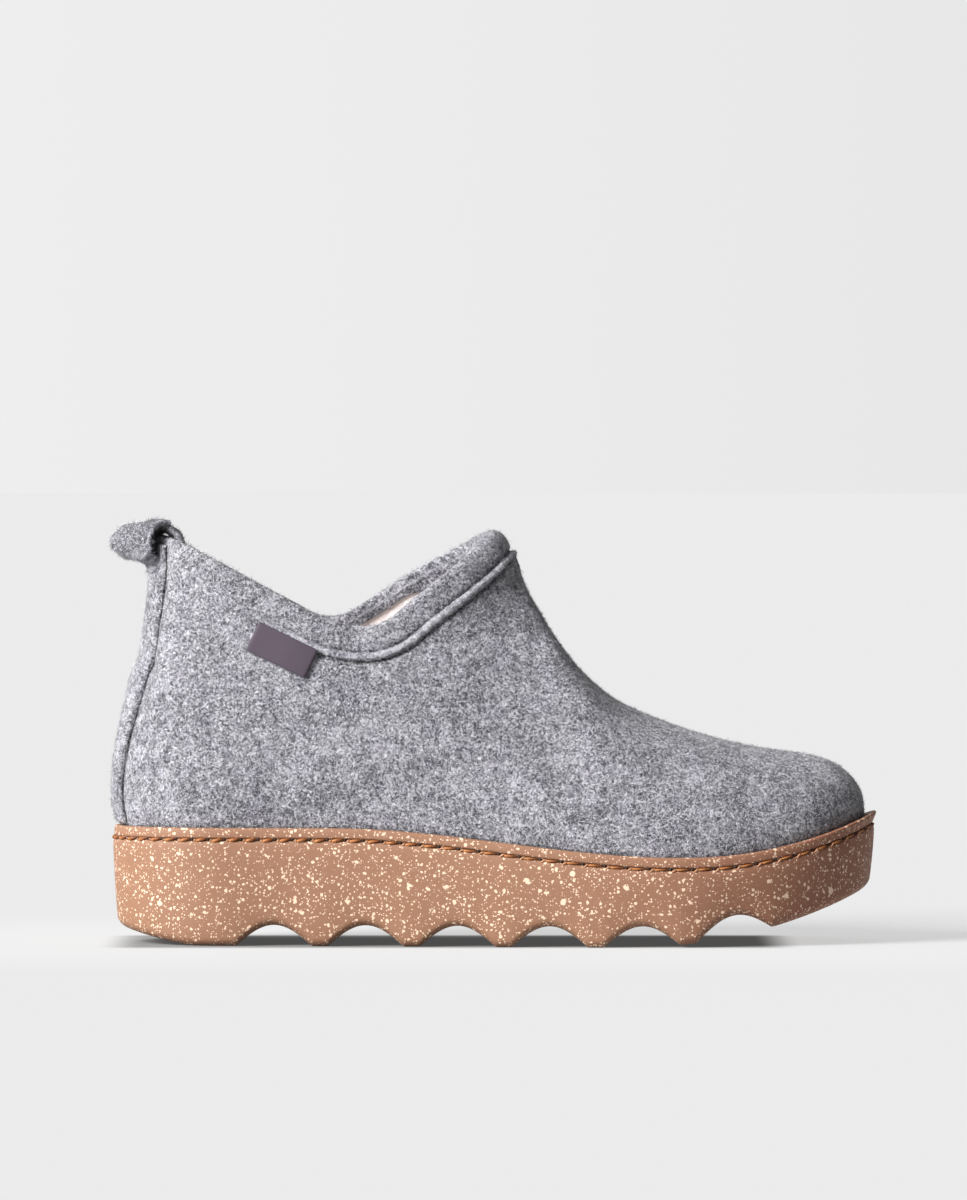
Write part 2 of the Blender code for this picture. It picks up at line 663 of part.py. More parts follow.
def make_pull_loop(front):
    """Felt tape folded over the rim into a loop that leans to the lateral side."""
    path, back = loop_path(front)
    run = np.gradient(path[:, :2], axis=0)
    run = run / np.linalg.norm(run, axis=1, keepdims=True)
    across = TAPE_WIDTH / 2 * np.linspace(-1, 1, 7)
    beside = collar_rim(np.array([COLLAR_ROWS[1][WAY]]), front, MEDIAL)[0]
    bend = beside[1] ** 2 / (2 * (beside[0] - back))
    faces_of = []
    for lift in (-0.5, 0.5):
        shift = lift * TAPE_THICKNESS
        x = path[:, :1] - shift * run[:, 1:] + 0 * across
        z = path[:, 1:2] + shift * run[:, :1] + 0 * across
        y = across + 0 * x
        curve = np.where(path[:, :1] > back, bend - WALL, bend + TAPE_THICKNESS)
        x = x + path[:, 2:] * y**2 / (2 * curve)
        behind = back - x
        turn = LOOP_TURN * smoothstep(*LOOP_TURNS, behind)
        turned_x = back - behind * np.cos(turn) - y * np.sin(turn)
        turned_y = -behind * np.sin(turn) + y * np.cos(turn)
        free = behind > 0
        faces_of.append(np.stack([np.where(free, turned_x, x), np.where(free, turned_y, y), z], -1))
    finish = material("felt_tape", (0.28, 0.28, 0.31), 0.95)
    return sheet_solid("pull_loop", faces_of[0], faces_of[1], finish)


def quadratic(places):
    """Terms of a curved surface over flat places, one row for each place."""
    u, v = places[:, 0], places[:, 1]
    return np.stack([np.ones_like(u), u, v, u**2, u * v, v**2], -1)


def make_label(front):
    """A small woven tab, sewn in under the seam on the lateral side and lying on the felt."""
    way = LABEL_PLACE * SOLE_LENGTH
    fine = np.linspace(0.2, 1, 200)
    rim, _, band_down, wall_down = collar_frame(fine, front, LATERAL)
    seam = rim + BAND_HEIGHT * band_down
    at = np.argmin(np.abs(seam[:, 0] - way))
    corner = seam[at] + LABEL_DROP * wall_down[at]
    along = np.array([math.cos(LABEL_SLOPE), -math.sin(LABEL_SLOPE)])
    down = np.array([along[1], -along[0]])
    near = np.linspace(0.1, 0.55, 40) * front / COLLAR_FRONT
    felt = wall_grid(near, front, LATERAL, np.linspace(0.3, 1.0, 40)), band_grid(near / front, front, LATERAL)
    wall = np.concatenate([grid.reshape(-1, 3) for grid in felt])
    middle = np.array([corner[0], corner[2]]) + down * LABEL_HEIGHT / 2
    close = np.linalg.norm(wall[:, [0, 2]] - middle, axis=1) < LABEL_WIDTH
    flat = wall[close][:, [0, 2]] - middle
    fit = np.linalg.lstsq(quadratic(flat), wall[close][:, 1], rcond=None)[0]
    across, drop = LABEL_WIDTH * np.linspace(-0.5, 0.5, 7), LABEL_HEIGHT * np.linspace(0, 1, 4)
    a, b = np.meshgrid(across, drop, indexing="ij")
    place = a[..., None] * along + b[..., None] * down + np.array([corner[0], corner[2]])
    y = (quadratic((place - middle).reshape(-1, 2)) @ fit).reshape(a.shape)
    inner = np.stack([place[..., 0], y - 2 * CLEAR, place[..., 1]], -1)
    outer = inner - np.array([0.0, LABEL_THICKNESS, 0.0])
    finish = material("woven_tab", (0.13, 0.10, 0.12), 0.8)
    return sheet_solid("label", inner, outer, finish)


def stand_at_origin(objects):
    """Moves every mesh: the middle of the shoe's footprint becomes the origin, and its lowest point z = 0."""
    corners = np.concatenate([np.array([v.co for v in made.data.vertices]) for made in objects])
    low, high = corners.min(axis=0), corners.max(axis=0)
    shift = np.array([-(low[0] + high[0]) / 2, -(low[1] + high[1]) / 2, -low[2]])
    for made in objects:
        for vertex in made.data.vertices:
            vertex.co += type(vertex.co)(shift)


def main():
    for old in list(bpy.data.objects):
        bpy.data.objects.remove(old)
    upper_stations = stations(9, every=2)
    front = front_station(upper_stations)
    made = [
        make_sole(),
        make_insole(upper_stations),
        make_upper(upper_stations, front),
        make_heel_strip(front),
        make_pull_loop(front),
        make_label(front),
    ]
    stand_at_origin(made)


main()
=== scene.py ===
# %% [markdown]
# # A felt slipper on a wave sole
#
# This lesson dresses a plain CAD slipper until it looks like the real one: pressed grey felt, a moulded
# sole with cream flecks, a stitched welt, a fleece lining and a small woven tab.
# The CAD model is loaded first and stays fixed. Every new piece is laid over the node that it stands for.

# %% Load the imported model
import math

import bmesh
import bpy
import numpy as np
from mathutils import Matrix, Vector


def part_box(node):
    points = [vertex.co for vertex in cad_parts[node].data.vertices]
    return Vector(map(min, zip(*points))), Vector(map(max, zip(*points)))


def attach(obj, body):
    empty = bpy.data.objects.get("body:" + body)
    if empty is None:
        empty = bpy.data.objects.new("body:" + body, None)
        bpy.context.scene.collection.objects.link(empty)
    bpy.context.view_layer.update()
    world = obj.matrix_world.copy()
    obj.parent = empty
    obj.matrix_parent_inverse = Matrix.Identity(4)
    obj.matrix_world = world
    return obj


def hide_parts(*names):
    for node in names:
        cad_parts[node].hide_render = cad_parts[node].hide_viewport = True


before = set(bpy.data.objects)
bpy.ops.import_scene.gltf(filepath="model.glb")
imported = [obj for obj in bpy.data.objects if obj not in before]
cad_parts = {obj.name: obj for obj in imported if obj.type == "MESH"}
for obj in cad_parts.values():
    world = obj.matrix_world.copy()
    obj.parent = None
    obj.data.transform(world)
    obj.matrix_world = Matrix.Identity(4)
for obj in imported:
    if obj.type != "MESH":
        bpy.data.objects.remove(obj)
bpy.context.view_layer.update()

# %% [markdown]
# ## Sizes
#
# A shoe is drawn from a last: a length, a ball width and a few heights. The same named sizes and short
# tables that shaped the CAD part shape the fine surfaces here, so both agree to a fraction of a millimetre.
# All of them are in metres, with the heel at x = 0 and the floor at z = 0.

# %% Sizes of the sole and the felt
SOLE_LENGTH = 0.260
BALL_WIDTH = 0.094
HEEL_HEIGHT = 0.040
FOREFOOT_HEIGHT = 0.0304
TOE_HEIGHT = 0.0445
TOE_SPRING = 0.0199
TOE_TURN = 0.006
HEEL_BEVEL = 0.0065
HEEL_ROUND = 0.154
LATERAL_TOE_ROUND = 0.31
MEDIAL_TOE_ROUND = 0.25
ARCH_PITCH = 0.0311
ARCH_WIDTH = 0.0258
ARCH_HEIGHT = 0.0071
ARCH_CENTRES = 0.0555 + ARCH_PITCH * np.arange(6)
LIP_WIDTH = 0.0035
CUP_DEPTH = 0.003
CLEAR = 0.0003

WALL = 0.003
COLLAR_RISE = 0.100
COLLAR_WIDTH = 0.063
BAND_HEIGHT = 0.011
COUNTER_STEP = 0.0016
COUNTER_RISE = 0.57
COUNTER_FALL = 0.27
TOE_BOX_LENGTH = 0.0205
TOE_BOX_RISE = 0.0195
FRONT = 0.642308
LATERAL, MEDIAL = SIDES = -1, 1

LIP_FALL = (0.29, 0.74)
LIP_TOE_RISE = 0.753
BEVEL_END = 0.115
SPRING_START = 0.673
TOE_TURN_START = 0.55
COUNTER_FADE = (0.055, 0.14)
COUNTER_SPREAD = 0.018
COUNTER_EDGE = 0.002

# Half widths of the sole. station: share of SOLE_LENGTH; lateral, medial: shares of BALL_WIDTH.
SOLE_SECTIONS = np.array((
    # station, lateral, medial
    (0.00, 0.350, 0.350),
    (0.15, 0.358, 0.358),
    (0.28, 0.385, 0.372),
    (0.38, 0.413, 0.372),
    (0.48, 0.447, 0.385),
    (0.58, 0.480, 0.420),
    (0.69, 0.500, 0.470),
    (0.80, 0.500, 0.500),
    (1.00, 0.500, 0.500),
))

# The collar from the heel round to its front. way: share of the way; x: shares of SOLE_LENGTH;
# half: share of COLLAR_WIDTH; up: shares of COLLAR_RISE; flare, lean: outward lean of band and wall;
# along, rise: shares of the wall's height; across: of the reach to the foot; belly: of BALL_WIDTH.
COLLAR_ROWS = np.array((
    # way, lateral x, medial x, half, lateral up, medial up, flare, lean, along, across, rise, belly
    (0.000, 0.0573, 0.0573, 0.000, 0.980, 0.980, 0.05, 0.00, 0.385, 0.00, 0.28, 0.078),
    (0.031, 0.0646, 0.0646, 0.140, 0.976, 0.976, 0.05, 0.01, 0.380, 0.00, 0.29, 0.074),
    (0.078, 0.0865, 0.0865, 0.270, 0.958, 0.953, 0.06, 0.03, 0.370, 0.00, 0.31, 0.060),
    (0.156, 0.1270, 0.1250, 0.365, 0.908, 0.900, 0.07, 0.06, 0.350, 0.00, 0.33, 0.045),
    (0.266, 0.1810, 0.1730, 0.436, 0.835, 0.830, 0.08, 0.10, 0.330, 0.00, 0.32, 0.034),
    (0.375, 0.2380, 0.2230, 0.476, 0.757, 0.755, 0.08, 0.12, 0.310, 0.00, 0.31, 0.030),
    (0.469, 0.2880, 0.2650, 0.497, 0.693, 0.708, 0.08, 0.14, 0.300, 0.00, 0.30, 0.027),
    (0.547, 0.3270, 0.2950, 0.500, 0.674, 0.703, 0.08, 0.15, 0.300, 0.00, 0.30, 0.025),
    (0.641, 0.3635, 0.3350, 0.487, 0.698, 0.756, 0.10, 0.16, 0.300, 0.00, 0.29, 0.022),
    (0.734, 0.3980, 0.3800, 0.456, 0.770, 0.832, 0.12, 0.18, 0.290, 0.01, 0.28, 0.018),
    (0.828, 0.4365, 0.4280, 0.397, 0.847, 0.902, 0.18, 0.22, 0.260, 0.04, 0.27, 0.015),
    (0.906, 0.4710, 0.4680, 0.297, 0.920, 0.956, 0.32, 0.28, 0.210, 0.11, 0.26, 0.013),
    (0.961, 0.4945, 0.4935, 0.160, 0.980, 0.988, 0.60, 0.35, 0.165, 0.20, 0.25, 0.012),
    (1.000, 0.5020, 0.5020, 0.000, 1.000, 1.000, 0.82, 0.38, 0.137, 0.30, 0.25, 0.012),
))
WAY, RIM_X, RIM_HALF, RIM_UP, FLARE, LEAN = 0, {LATERAL: 1, MEDIAL: 2}, 3, {LATERAL: 4, MEDIAL: 5}, 6, 7
COLLAR_SHARES = (8, 9, 10, 11)

# The ridge of the instep. way: share of the way along the foot; run, height: shares of its own length
# and height; along, across: shares of the reach forward and sideways; rise: of the wall's height;
# belly: of BALL_WIDTH.
RIDGE_ROWS = np.array((
    # way, run, height, along, across, rise, belly
    (0.000, 0.000, 1.000, 0.18, 0.30, 0.25, 0.012),
    (0.070, 0.040, 0.836, 0.15, 0.40, 0.26, 0.012),
    (0.140, 0.100, 0.670, 0.12, 0.48, 0.28, 0.014),
    (0.236, 0.190, 0.467, 0.10, 0.55, 0.32, 0.016),
    (0.347, 0.320, 0.294, 0.10, 0.60, 0.37, 0.019),
    (0.472, 0.480, 0.184, 0.10, 0.66, 0.42, 0.021),
    (0.611, 0.650, 0.098, 0.14, 0.70, 0.46, 0.020),
    (0.750, 0.800, 0.047, 0.25, 0.74, 0.50, 0.018),
    (0.875, 0.920, 0.018, 0.40, 0.78, 0.52, 0.014),
    (0.958, 0.985, 0.004, 0.55, 0.82, 0.54, 0.011),
    (1.000, 1.000, 0.000, 0.61, 0.85, 0.54, 0.010),
))
RIDGE_RUN, RIDGE_HEIGHT = 1, 2
RIDGE_SHARES = (3, 4, 5, 6)
TOE_SLOPE_FROM = 0.93
print("Sole", SOLE_LENGTH * 1000, "mm long, ball", BALL_WIDTH * 1000, "mm wide")


# %% Curves through the tables
def smoothstep(start, end, value):
    """Zero at start, one at end, and 3s^2 - 2s^3 of the share s between. It falls where start > end."""
    share = np.clip((np.asarray(value, float) - start) / (end - start), 0.0, 1.0)
    return share * share * (3 - 2 * share)


def through(keys, values, at, level=(False, False)):
    """A smooth curve through a table's column: cubic between rows, with slopes from the rows beside."""
    keys, values, at = (np.asarray(numbers, float) for numbers in (keys, values, at))
    slope = np.gradient(values, keys)
    slope[0] *= not level[0]
    slope[-1] *= not level[1]
    i = np.clip(np.searchsorted(keys, at, side="right") - 1, 0, len(keys) - 2)
    gap = keys[i + 1] - keys[i]
    t = (at - keys[i]) / gap
    start = (2 * t**3 - 3 * t**2 + 1) * values[i] + (t**3 - 2 * t**2 + t) * gap * slope[i]
    end = (3 * t**2 - 2 * t**3) * values[i + 1] + (t**3 - t**2) * gap * slope[i + 1]
    return start + end


def round_key(station):
    """A station from heel to toe as an angle, so that curves turn evenly round both ends."""
    return np.arccos(np.clip(1 - 2 * np.asarray(station, float), -1.0, 1.0)) / math.pi


def unit(vectors):
    """Vectors divided by their own length."""
    return vectors / np.maximum(np.linalg.norm(vectors, axis=-1, keepdims=True), 1e-12)


def bell(gap, width):
    """One where the gap is 0, falling off on both sides as exp(-g^2) for a gap of g widths."""
    return np.exp(-((gap / width) ** 2))


def blunt(share, power):
    """One in the middle and 0 at -1 and 1: an edge that is rounder the lower the power."""
    return np.sqrt(np.clip(1 - np.abs(share) ** power, 0, None))


# %% [markdown]
# ## The last's two guide lines
#
# Everything on a shoe follows the outline of its sole and the height of its lip.
# The outline is a table of widths, closed by an ellipse at the heel and another at the toe.
# The underside adds a row of half-cosine arches, a bevel at the heel and a spring at the toe.


# %% Outline and heights of the sole
def sole_edge(station, side):
    """Half outline: the table's width, times the root of 1 - s^2 at each end, about a turned middle."""
    station = np.asarray(station, float)
    column, toe_round = {LATERAL: (1, LATERAL_TOE_ROUND), MEDIAL: (2, MEDIAL_TOE_ROUND)}[side]
    width = BALL_WIDTH * through(SOLE_SECTIONS[:, 0], SOLE_SECTIONS[:, column], station)
    behind = np.clip((HEEL_ROUND - station) / HEEL_ROUND, 0.0, 1.0)
    ahead = np.clip((station - 1 + toe_round) / toe_round, 0.0, 1.0)
    half = side * width * np.sqrt(1 - behind**2)
    turned = TOE_TURN * smoothstep(TOE_TURN_START, 1.0, station) * ahead
    return turned + (half - turned) * np.sqrt(1 - ahead**2)


def outline(station, side, inset):
    """Points (x, y) of one half of the outline, moved inward along its normal, and that normal."""
    station = np.asarray(station, float)
    angle = np.clip(round_key(station), 1e-4, 1 - 1e-4)
    step = 1e-4
    before, after = (0.5 * (1 - np.cos(math.pi * (angle + d))) for d in (-step, step))
    run = np.stack([SOLE_LENGTH * (after - before), sole_edge(after, side) - sole_edge(before, side)], -1)
    normal = unit(np.stack([-run[:, 1], run[:, 0]], -1) * side)
    normal[station <= 0] = (-1.0, 0.0)
    normal[station >= 1] = (1.0, 0.0)
    edge = np.stack([SOLE_LENGTH * station, sole_edge(station, side)], -1)
    return edge - np.reshape(inset, (-1, 1)) * normal, normal


def lip_height(x):
    """Top of the sole's edge: high at the heel, lowest under the ball, and a parabola up to the toe."""
    share = np.asarray(x, float) / SOLE_LENGTH
    heel = (HEEL_HEIGHT - FOREFOOT_HEIGHT) * (1 - smoothstep(*LIP_FALL, share))
    toe = np.clip((share - LIP_TOE_RISE) / (1 - LIP_TOE_RISE), 0, None) ** 2
    return FOREFOOT_HEIGHT + heel + (TOE_HEIGHT - FOREFOOT_HEIGHT) * toe


def underside_height(x):
    """Underside: a bevel at the heel, a spring at the toe, and a half cosine for each arch."""
    x = np.asarray(x, float)
    share = x / SOLE_LENGTH
    height = HEEL_BEVEL * np.clip(1 - share / BEVEL_END, 0, None) ** 1.4
    height = height + TOE_SPRING * np.clip((share - SPRING_START) / (1 - SPRING_START), 0, None) ** 2
    for centre in ARCH_CENTRES:
        height = height + ARCH_HEIGHT * np.cos(math.pi * np.clip(np.abs(x - centre) / ARCH_WIDTH, 0, 0.5))
    return height


EVEN = np.linspace(0, 1, 400)
sole_low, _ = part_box("sole")
SHIFT = np.array([sole_low.x, sole_low.y - sole_edge(EVEN, LATERAL).min(), 0.0])
print("The last's heel stands at", (1000 * SHIFT).round(2), "mm")

# %% [markdown]
# ## Grids into meshes
#
# Each surface is a grid of points worked out in one go. Neighbouring grids share their border points, so
# they are welded by position and become one closed skin. Blender then turns all faces outward.


# %% Mesh helpers
def grid_quads(shape, start=0, turned=False):
    """Corner numbers of every cell of a grid, as an array of quads."""
    rows, columns = shape[:2]
    a = start + np.arange(rows - 1)[:, None] * columns + np.arange(columns - 1)[None]
    quads = np.stack([a, a + columns, a + columns + 1, a + 1], -1).reshape(-1, 4)
    return quads[:, ::-1] if turned else quads


def gathered(grids):
    """Grids, each with a mark that turns its faces, as one list of points and one of quads."""
    points, quads, count = [], [], 0
    for grid, turned in grids:
        points.append(grid.reshape(-1, grid.shape[-1]))
        quads.append(grid_quads(grid.shape, count, turned))
        count += len(points[-1])
    return np.concatenate(points), np.concatenate(quads)


def welded(points, quads):
    """Points at the same place made one, and the quads and the old numbers in their new numbering."""
    places = np.round(points[:, :3] * 1e7).astype(np.int64)
    _, first, index = np.unique(places, axis=0, return_index=True, return_inverse=True)
    index = index.reshape(-1)
    return points[first], index[quads], index


def vertex_normals(points, quads):
    """The mean of the normals of the faces round each point, weighted by their area."""
    across = np.cross(points[quads[:, 2]] - points[quads[:, 0]], points[quads[:, 3]] - points[quads[:, 1]])
    corners = quads.reshape(-1)
    total = [np.bincount(corners, np.repeat(across[:, k], 4), len(points)) for k in range(3)]
    return unit(np.stack(total, -1))


def new_mesh(name, points, corners, sides):
    """A mesh from points in the last's frame, the corner numbers of its faces and their counts."""
    mesh = bpy.data.meshes.new(name)
    mesh.vertices.add(len(points))
    mesh.vertices.foreach_set("co", (points + SHIFT).astype(np.float32).ravel())
    mesh.loops.add(len(corners))
    mesh.loops.foreach_set("vertex_index", corners.astype(np.int32))
    mesh.polygons.add(len(sides))
    mesh.polygons.foreach_set("loop_start", (np.cumsum(sides) - sides).astype(np.int32))
    mesh.polygons.foreach_set("loop_total", sides.astype(np.int32))
    mesh.update(calc_edges=True)
    return mesh


def in_scene(name, data):
    """An object of the given data, linked to the scene."""
    made = bpy.data.objects.new(name, data)
    bpy.context.scene.collection.objects.link(made)
    return made


def rider(mesh, marks, finish):
    """The mesh as a smooth piece of the only body, with a value of each mark on every point."""
    for mark, values in marks.items():
        layer = mesh.attributes.new(mark, "FLOAT", "POINT")
        layer.data.foreach_set("value", values.astype(np.float32))
    mesh.shade_smooth()
    mesh.materials.append(finish)
    made = in_scene(mesh.name, mesh)
    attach(made, "root")
    print(f"{made.name}: {len(mesh.polygons)} faces")
    return made


def piece(name, grids, finish, replaced=(), closed=True, marks=()):
    """A piece from grids that are welded into one skin. Columns past z are the values of its marks."""
    points, quads, _ = welded(*gathered(grids))
    keep = quads != np.roll(quads, 1, axis=1)
    whole = keep.sum(1) >= 3
    quads, keep = quads[whole], keep[whole]
    mesh = new_mesh(name, points[:, :3], quads[keep], keep.sum(1))
    mesh.validate()
    if closed:
        shape = bmesh.new()
        shape.from_mesh(mesh)
        bmesh.ops.recalc_face_normals(shape, faces=shape.faces)
        shape.to_mesh(mesh)
        shape.free()
    made = rider(mesh, dict(zip(marks, points[:, 3:].T)), finish)
    if replaced:
        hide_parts(*replaced)
    return made


def arc_length(line):
    """The length along a line of points, from 0 at its first."""
    return np.concatenate([[0], np.cumsum(np.linalg.norm(np.diff(line, axis=0), axis=1))])


def marked(face, crease):
    """A grid of points with two more columns: a crease mark of painted shade, and a bead mark of 0."""
    crease = np.broadcast_to(crease, face.shape[:2])[..., None]
    return np.concatenate([face, crease, 0 * crease], -1)


def slab(inner, outer):
    """A sheet with thickness: its two faces and the four strips that close its edges."""
    edges = [np.stack([inner[k], outer[k]], 1) for k in (0, -1)]
    edges += [np.stack([inner[:, k], outer[:, k]], 1) for k in (0, -1)]
    return [(inner, True), (outer, False), *((edge, False) for edge in edges)]


# Marks read by the felt finish: crease is painted shade, and bead makes the seam's bead smoother and
# lighter.
FELT_MARKS = ("crease", "bead")
print("Mesh helpers are ready")

# %% [markdown]
# ## Shader sums as plain Python
#
# A procedural finish is mostly arithmetic on noise. Wrapping a socket in a small class lets that arithmetic
# be written as an expression, and each operator adds the Math node that it stands for.


# %% Shader helpers
class Value:
    """One output of a shader node, which adds Math nodes when it is summed, multiplied or compared."""

    def __init__(self, finish, socket):
        self.finish = finish
        self.socket = socket

    def math(self, operation, *values):
        """A Math node on these values."""
        return self.finish.node("Math", dict(enumerate(values)), operation=operation)

    def __add__(self, other):
        return self.math("ADD", self, other)

    def __sub__(self, other):
        return self.math("SUBTRACT", self, other)

    def __mul__(self, other):
        return self.math("MULTIPLY", self, other)

    def __rsub__(self, other):
        return self.math("SUBTRACT", other, self)

    def __abs__(self):
        return self.math("ABSOLUTE", self)

    __radd__ = __add__
    __rmul__ = __mul__

    def step(self, start, end):
        """An S from 0 at start to 1 at end. It falls where start is above end."""
        low, high = sorted((start, end))
        sockets = {"Value": self, "From Min": low, "From Max": high}
        rising = self.finish.node("MapRange", sockets, interpolation_type="SMOOTHSTEP")
        return rising if start < end else 1 - rising


class Nodes:
    """A node tree, a way to add any node to it, and the place that its patterns are laid out by."""

    def __init__(self, tree, place):
        self.tree = tree
        self.place = self.node("TexCoord", output=place)

    def feed(self, socket, value):
        """Links a node's output to a socket, or sets the socket to a plain value."""
        if isinstance(value, Value):
            self.tree.links.new(value.socket, socket)
        else:
            socket.default_value = value

    def node(self, kind, sockets=None, output=0, stops=None, **settings):
        """Any node: its settings and ramp stops first, then its sockets, by name or number."""
        made = self.tree.nodes.new("ShaderNode" + kind)
        for name, value in settings.items():
            setattr(made, name, value)
        if stops:
            ramp = made.color_ramp.elements
            while len(ramp) < len(stops):
                ramp.new(0.5)
            for element, (position, colour) in zip(ramp, stops):
                element.position = position
                element.color = (*colour, 1.0)
        for name, value in (sockets or {}).items():
            self.feed(made.inputs[name], value)
        return Value(self, made.outputs[output])

    def noise(self, scale, detail=2.0, roughness=0.5, distortion=0.0, at=None, output=0):
        """Cloudy noise with scale features to the metre."""
        sockets = {"Vector": at or self.place, "Scale": scale, "Detail": detail, "Roughness": roughness}
        return self.node("TexNoise", {**sockets, "Distortion": distortion}, output=output)

    def mix(self, share, first, second):
        """One colour turning into another as share goes from 0 to 1."""
        colours = [c if isinstance(c, Value) else (*c, 1.0) for c in (first, second)]
        return self.node("Mix", {0: share, 6: colours[0], 7: colours[1]}, output=2, data_type="RGBA")

    def warped(self, scale, reach):
        """The place, pushed about by coloured noise as far as reach."""
        cloud = self.noise(scale, output=1)
        push = self.node("VectorMath", {0: cloud, 1: (0.5, 0.5, 0.5)}, operation="SUBTRACT")
        push = self.node("VectorMath", {0: push, "Scale": reach}, operation="SCALE")
        return self.node("VectorMath", {0: self.place, 1: push}, operation="ADD")

    def mark(self, name):
        """A value stored on a piece's own points."""
        return self.node("Attribute", output="Fac", attribute_name=name)


class Finish(Nodes):
    """A material and the nodes behind its Principled shader."""

    def __init__(self, name, **uniform):
        self.material = bpy.data.materials.new(name)
        self.material.use_nodes = True
        super().__init__(self.material.node_tree, "Object")
        self.shader = self.tree.nodes["Principled BSDF"]
        for socket, value in uniform.items():
            self.shader.inputs[socket.replace("_", " ")].default_value = value

    def done(self, colour, height=None, depth=0.001, roughness=None):
        """Feeds the shader: base colour, roughness, and a bump of the given depth for a height of 1."""
        self.feed(self.shader.inputs["Base Color"], colour)
        if roughness is not None:
            self.feed(self.shader.inputs["Roughness"], roughness)
        if height is not None:
            bump = self.node("Bump", {"Height": height, "Distance": depth, "Strength": 1.0})
            self.feed(self.shader.inputs["Normal"], bump)
        return self.material


print("Shader helpers are ready")

# %% [markdown]
# ## Pressed felt
#
# Felt is wool matted by heat and rubbing, so it has no weave: it is a salt-and-pepper mat of curly fibres.
# Noise alone looks like stone. The curly look comes from ridges: where a noise crosses its middle value it
# traces a thin winding line, and a dark and a light set of such lines read as single fibres.
# Two slower noises add the tufts and the cloudy patches that a dyed sheet has.


# %% Felt material
def felt(name, level=1.0):
    """Grey felt: light and dark fibres over a mottled ground, painted shade on the crease mark, and
    smoother, lighter felt on the bead mark, brightest on its crest as a painted highlight.
    """
    finish = Finish(name, Roughness=0.92, Specular_IOR_Level=0.18, Sheen_Weight=0.25, Sheen_Roughness=0.5)
    ground = finish.noise(1150, detail=3, roughness=0.65, distortion=0.6)
    tuft = finish.noise(330, detail=2, roughness=0.6)
    cloud = finish.noise(75, detail=3, roughness=0.6)
    light_fibre = 1 - abs(finish.noise(760, detail=2, distortion=1.6) - 0.5).step(0.0, 0.045)
    warped = finish.warped(500, 0.0015)
    dark_fibre = 1 - abs(finish.noise(900, detail=2, distortion=1.2, at=warped) - 0.5).step(0.0, 0.05)
    bead = finish.mark("bead")
    tone = 0.5 + (ground - 0.5) * 3.4 + (tuft - 0.5) * 1.2 + (cloud - 0.5) * 1.0
    tone = tone + light_fibre * 0.46 - dark_fibre * 0.38
    # The crease mark darkens the felt as painted shade. The bead mark evens the felt and lightens it, most
    # on the bead's crest, which is a painted highlight.
    tone = tone * (1 - bead * 0.45) + bead * 0.36 - finish.mark("crease") * 0.5
    stops = [(0.0, (0.028, 0.028, 0.034)), (0.45, (0.168, 0.164, 0.186)), (1.0, (0.52, 0.515, 0.545))]
    stops = [(position, tuple(level * c for c in colour)) for position, colour in stops]
    grey = finish.node("ValToRGB", {"Fac": tone}, stops=stops)
    hue = finish.noise(140, detail=2)
    tinted = finish.node(
        "Mix", {0: hue.step(0.45, 0.75) * 0.5, 6: grey, 7: (0.93, 0.86, 0.98, 1.0)},
        output=2, data_type="RGBA", blend_type="MULTIPLY",
    )
    height = ground * 0.6 + light_fibre * 0.35 - dark_fibre * 0.25 + tuft * 0.5
    return finish.done(tinted, height * (1 - bead * 0.6), 0.00055)


def fleece(name):
    """Pinkish fleece: soft curls with a little shade between. A weak glow is painted light: it stands for
    light scattered in the pile and brightens the fleece where it lies in shade.
    """
    finish = Finish(name, Roughness=0.95, Specular_IOR_Level=0.15, Sheen_Weight=0.3, Sheen_Roughness=0.5,
                    Emission_Color=(0.78, 0.69, 0.66, 1.0), Emission_Strength=0.20)
    curl = finish.noise(420, detail=4, roughness=0.65, distortion=1.4)
    cloud = finish.noise(90, detail=2)
    tone = 0.5 + (curl - 0.5) * 1.6 + (cloud - 0.5) * 0.6
    stops = [(0.1, (0.54, 0.47, 0.45)), (0.7, (0.74, 0.67, 0.65))]
    return finish.done(finish.node("ValToRGB", {"Fac": tone}, stops=stops), curl, 0.0012)


FELT = felt("felt_wall_finish")
FELT_STRIP = felt("felt_strip_finish")
# The tape's felt is a copy made a quarter lighter: painted light, because the loop turns away from the key
# lamp.
FELT_TAPE_PAINTED_LIGHT = felt("felt_tape_painted_light_finish", 1.25)
FLEECE = fleece("fleece_finish")
print("Felt and fleece are made")

# %% [markdown]
# ## Speckled sole
#
# The sole is moulded from tan rubber with crumbs of cream rubber in it. The crumbs lie in the whole mass,
# so a solid pattern on the object's own coordinates suits them better than a flat texture: each is a cell
# of a Voronoi pattern, cut at its own random radius. Three sizes are laid over each other.


# %% Sole material
def crumbs(finish, scale, share, radius, at):
    """Round chips, each of a radius that grows with how far its cell's number is above 1 - share."""
    distance = finish.node("TexVoronoi", {"Vector": at, "Scale": scale}, output="Distance")
    random = finish.node("TexVoronoi", {"Vector": at, "Scale": scale}, output="Color")
    number = finish.node("SeparateColor", {0: random}, output=0)
    room = (number - (1 - share)) * (radius / share)
    return (room - distance).step(0.0, 0.05)


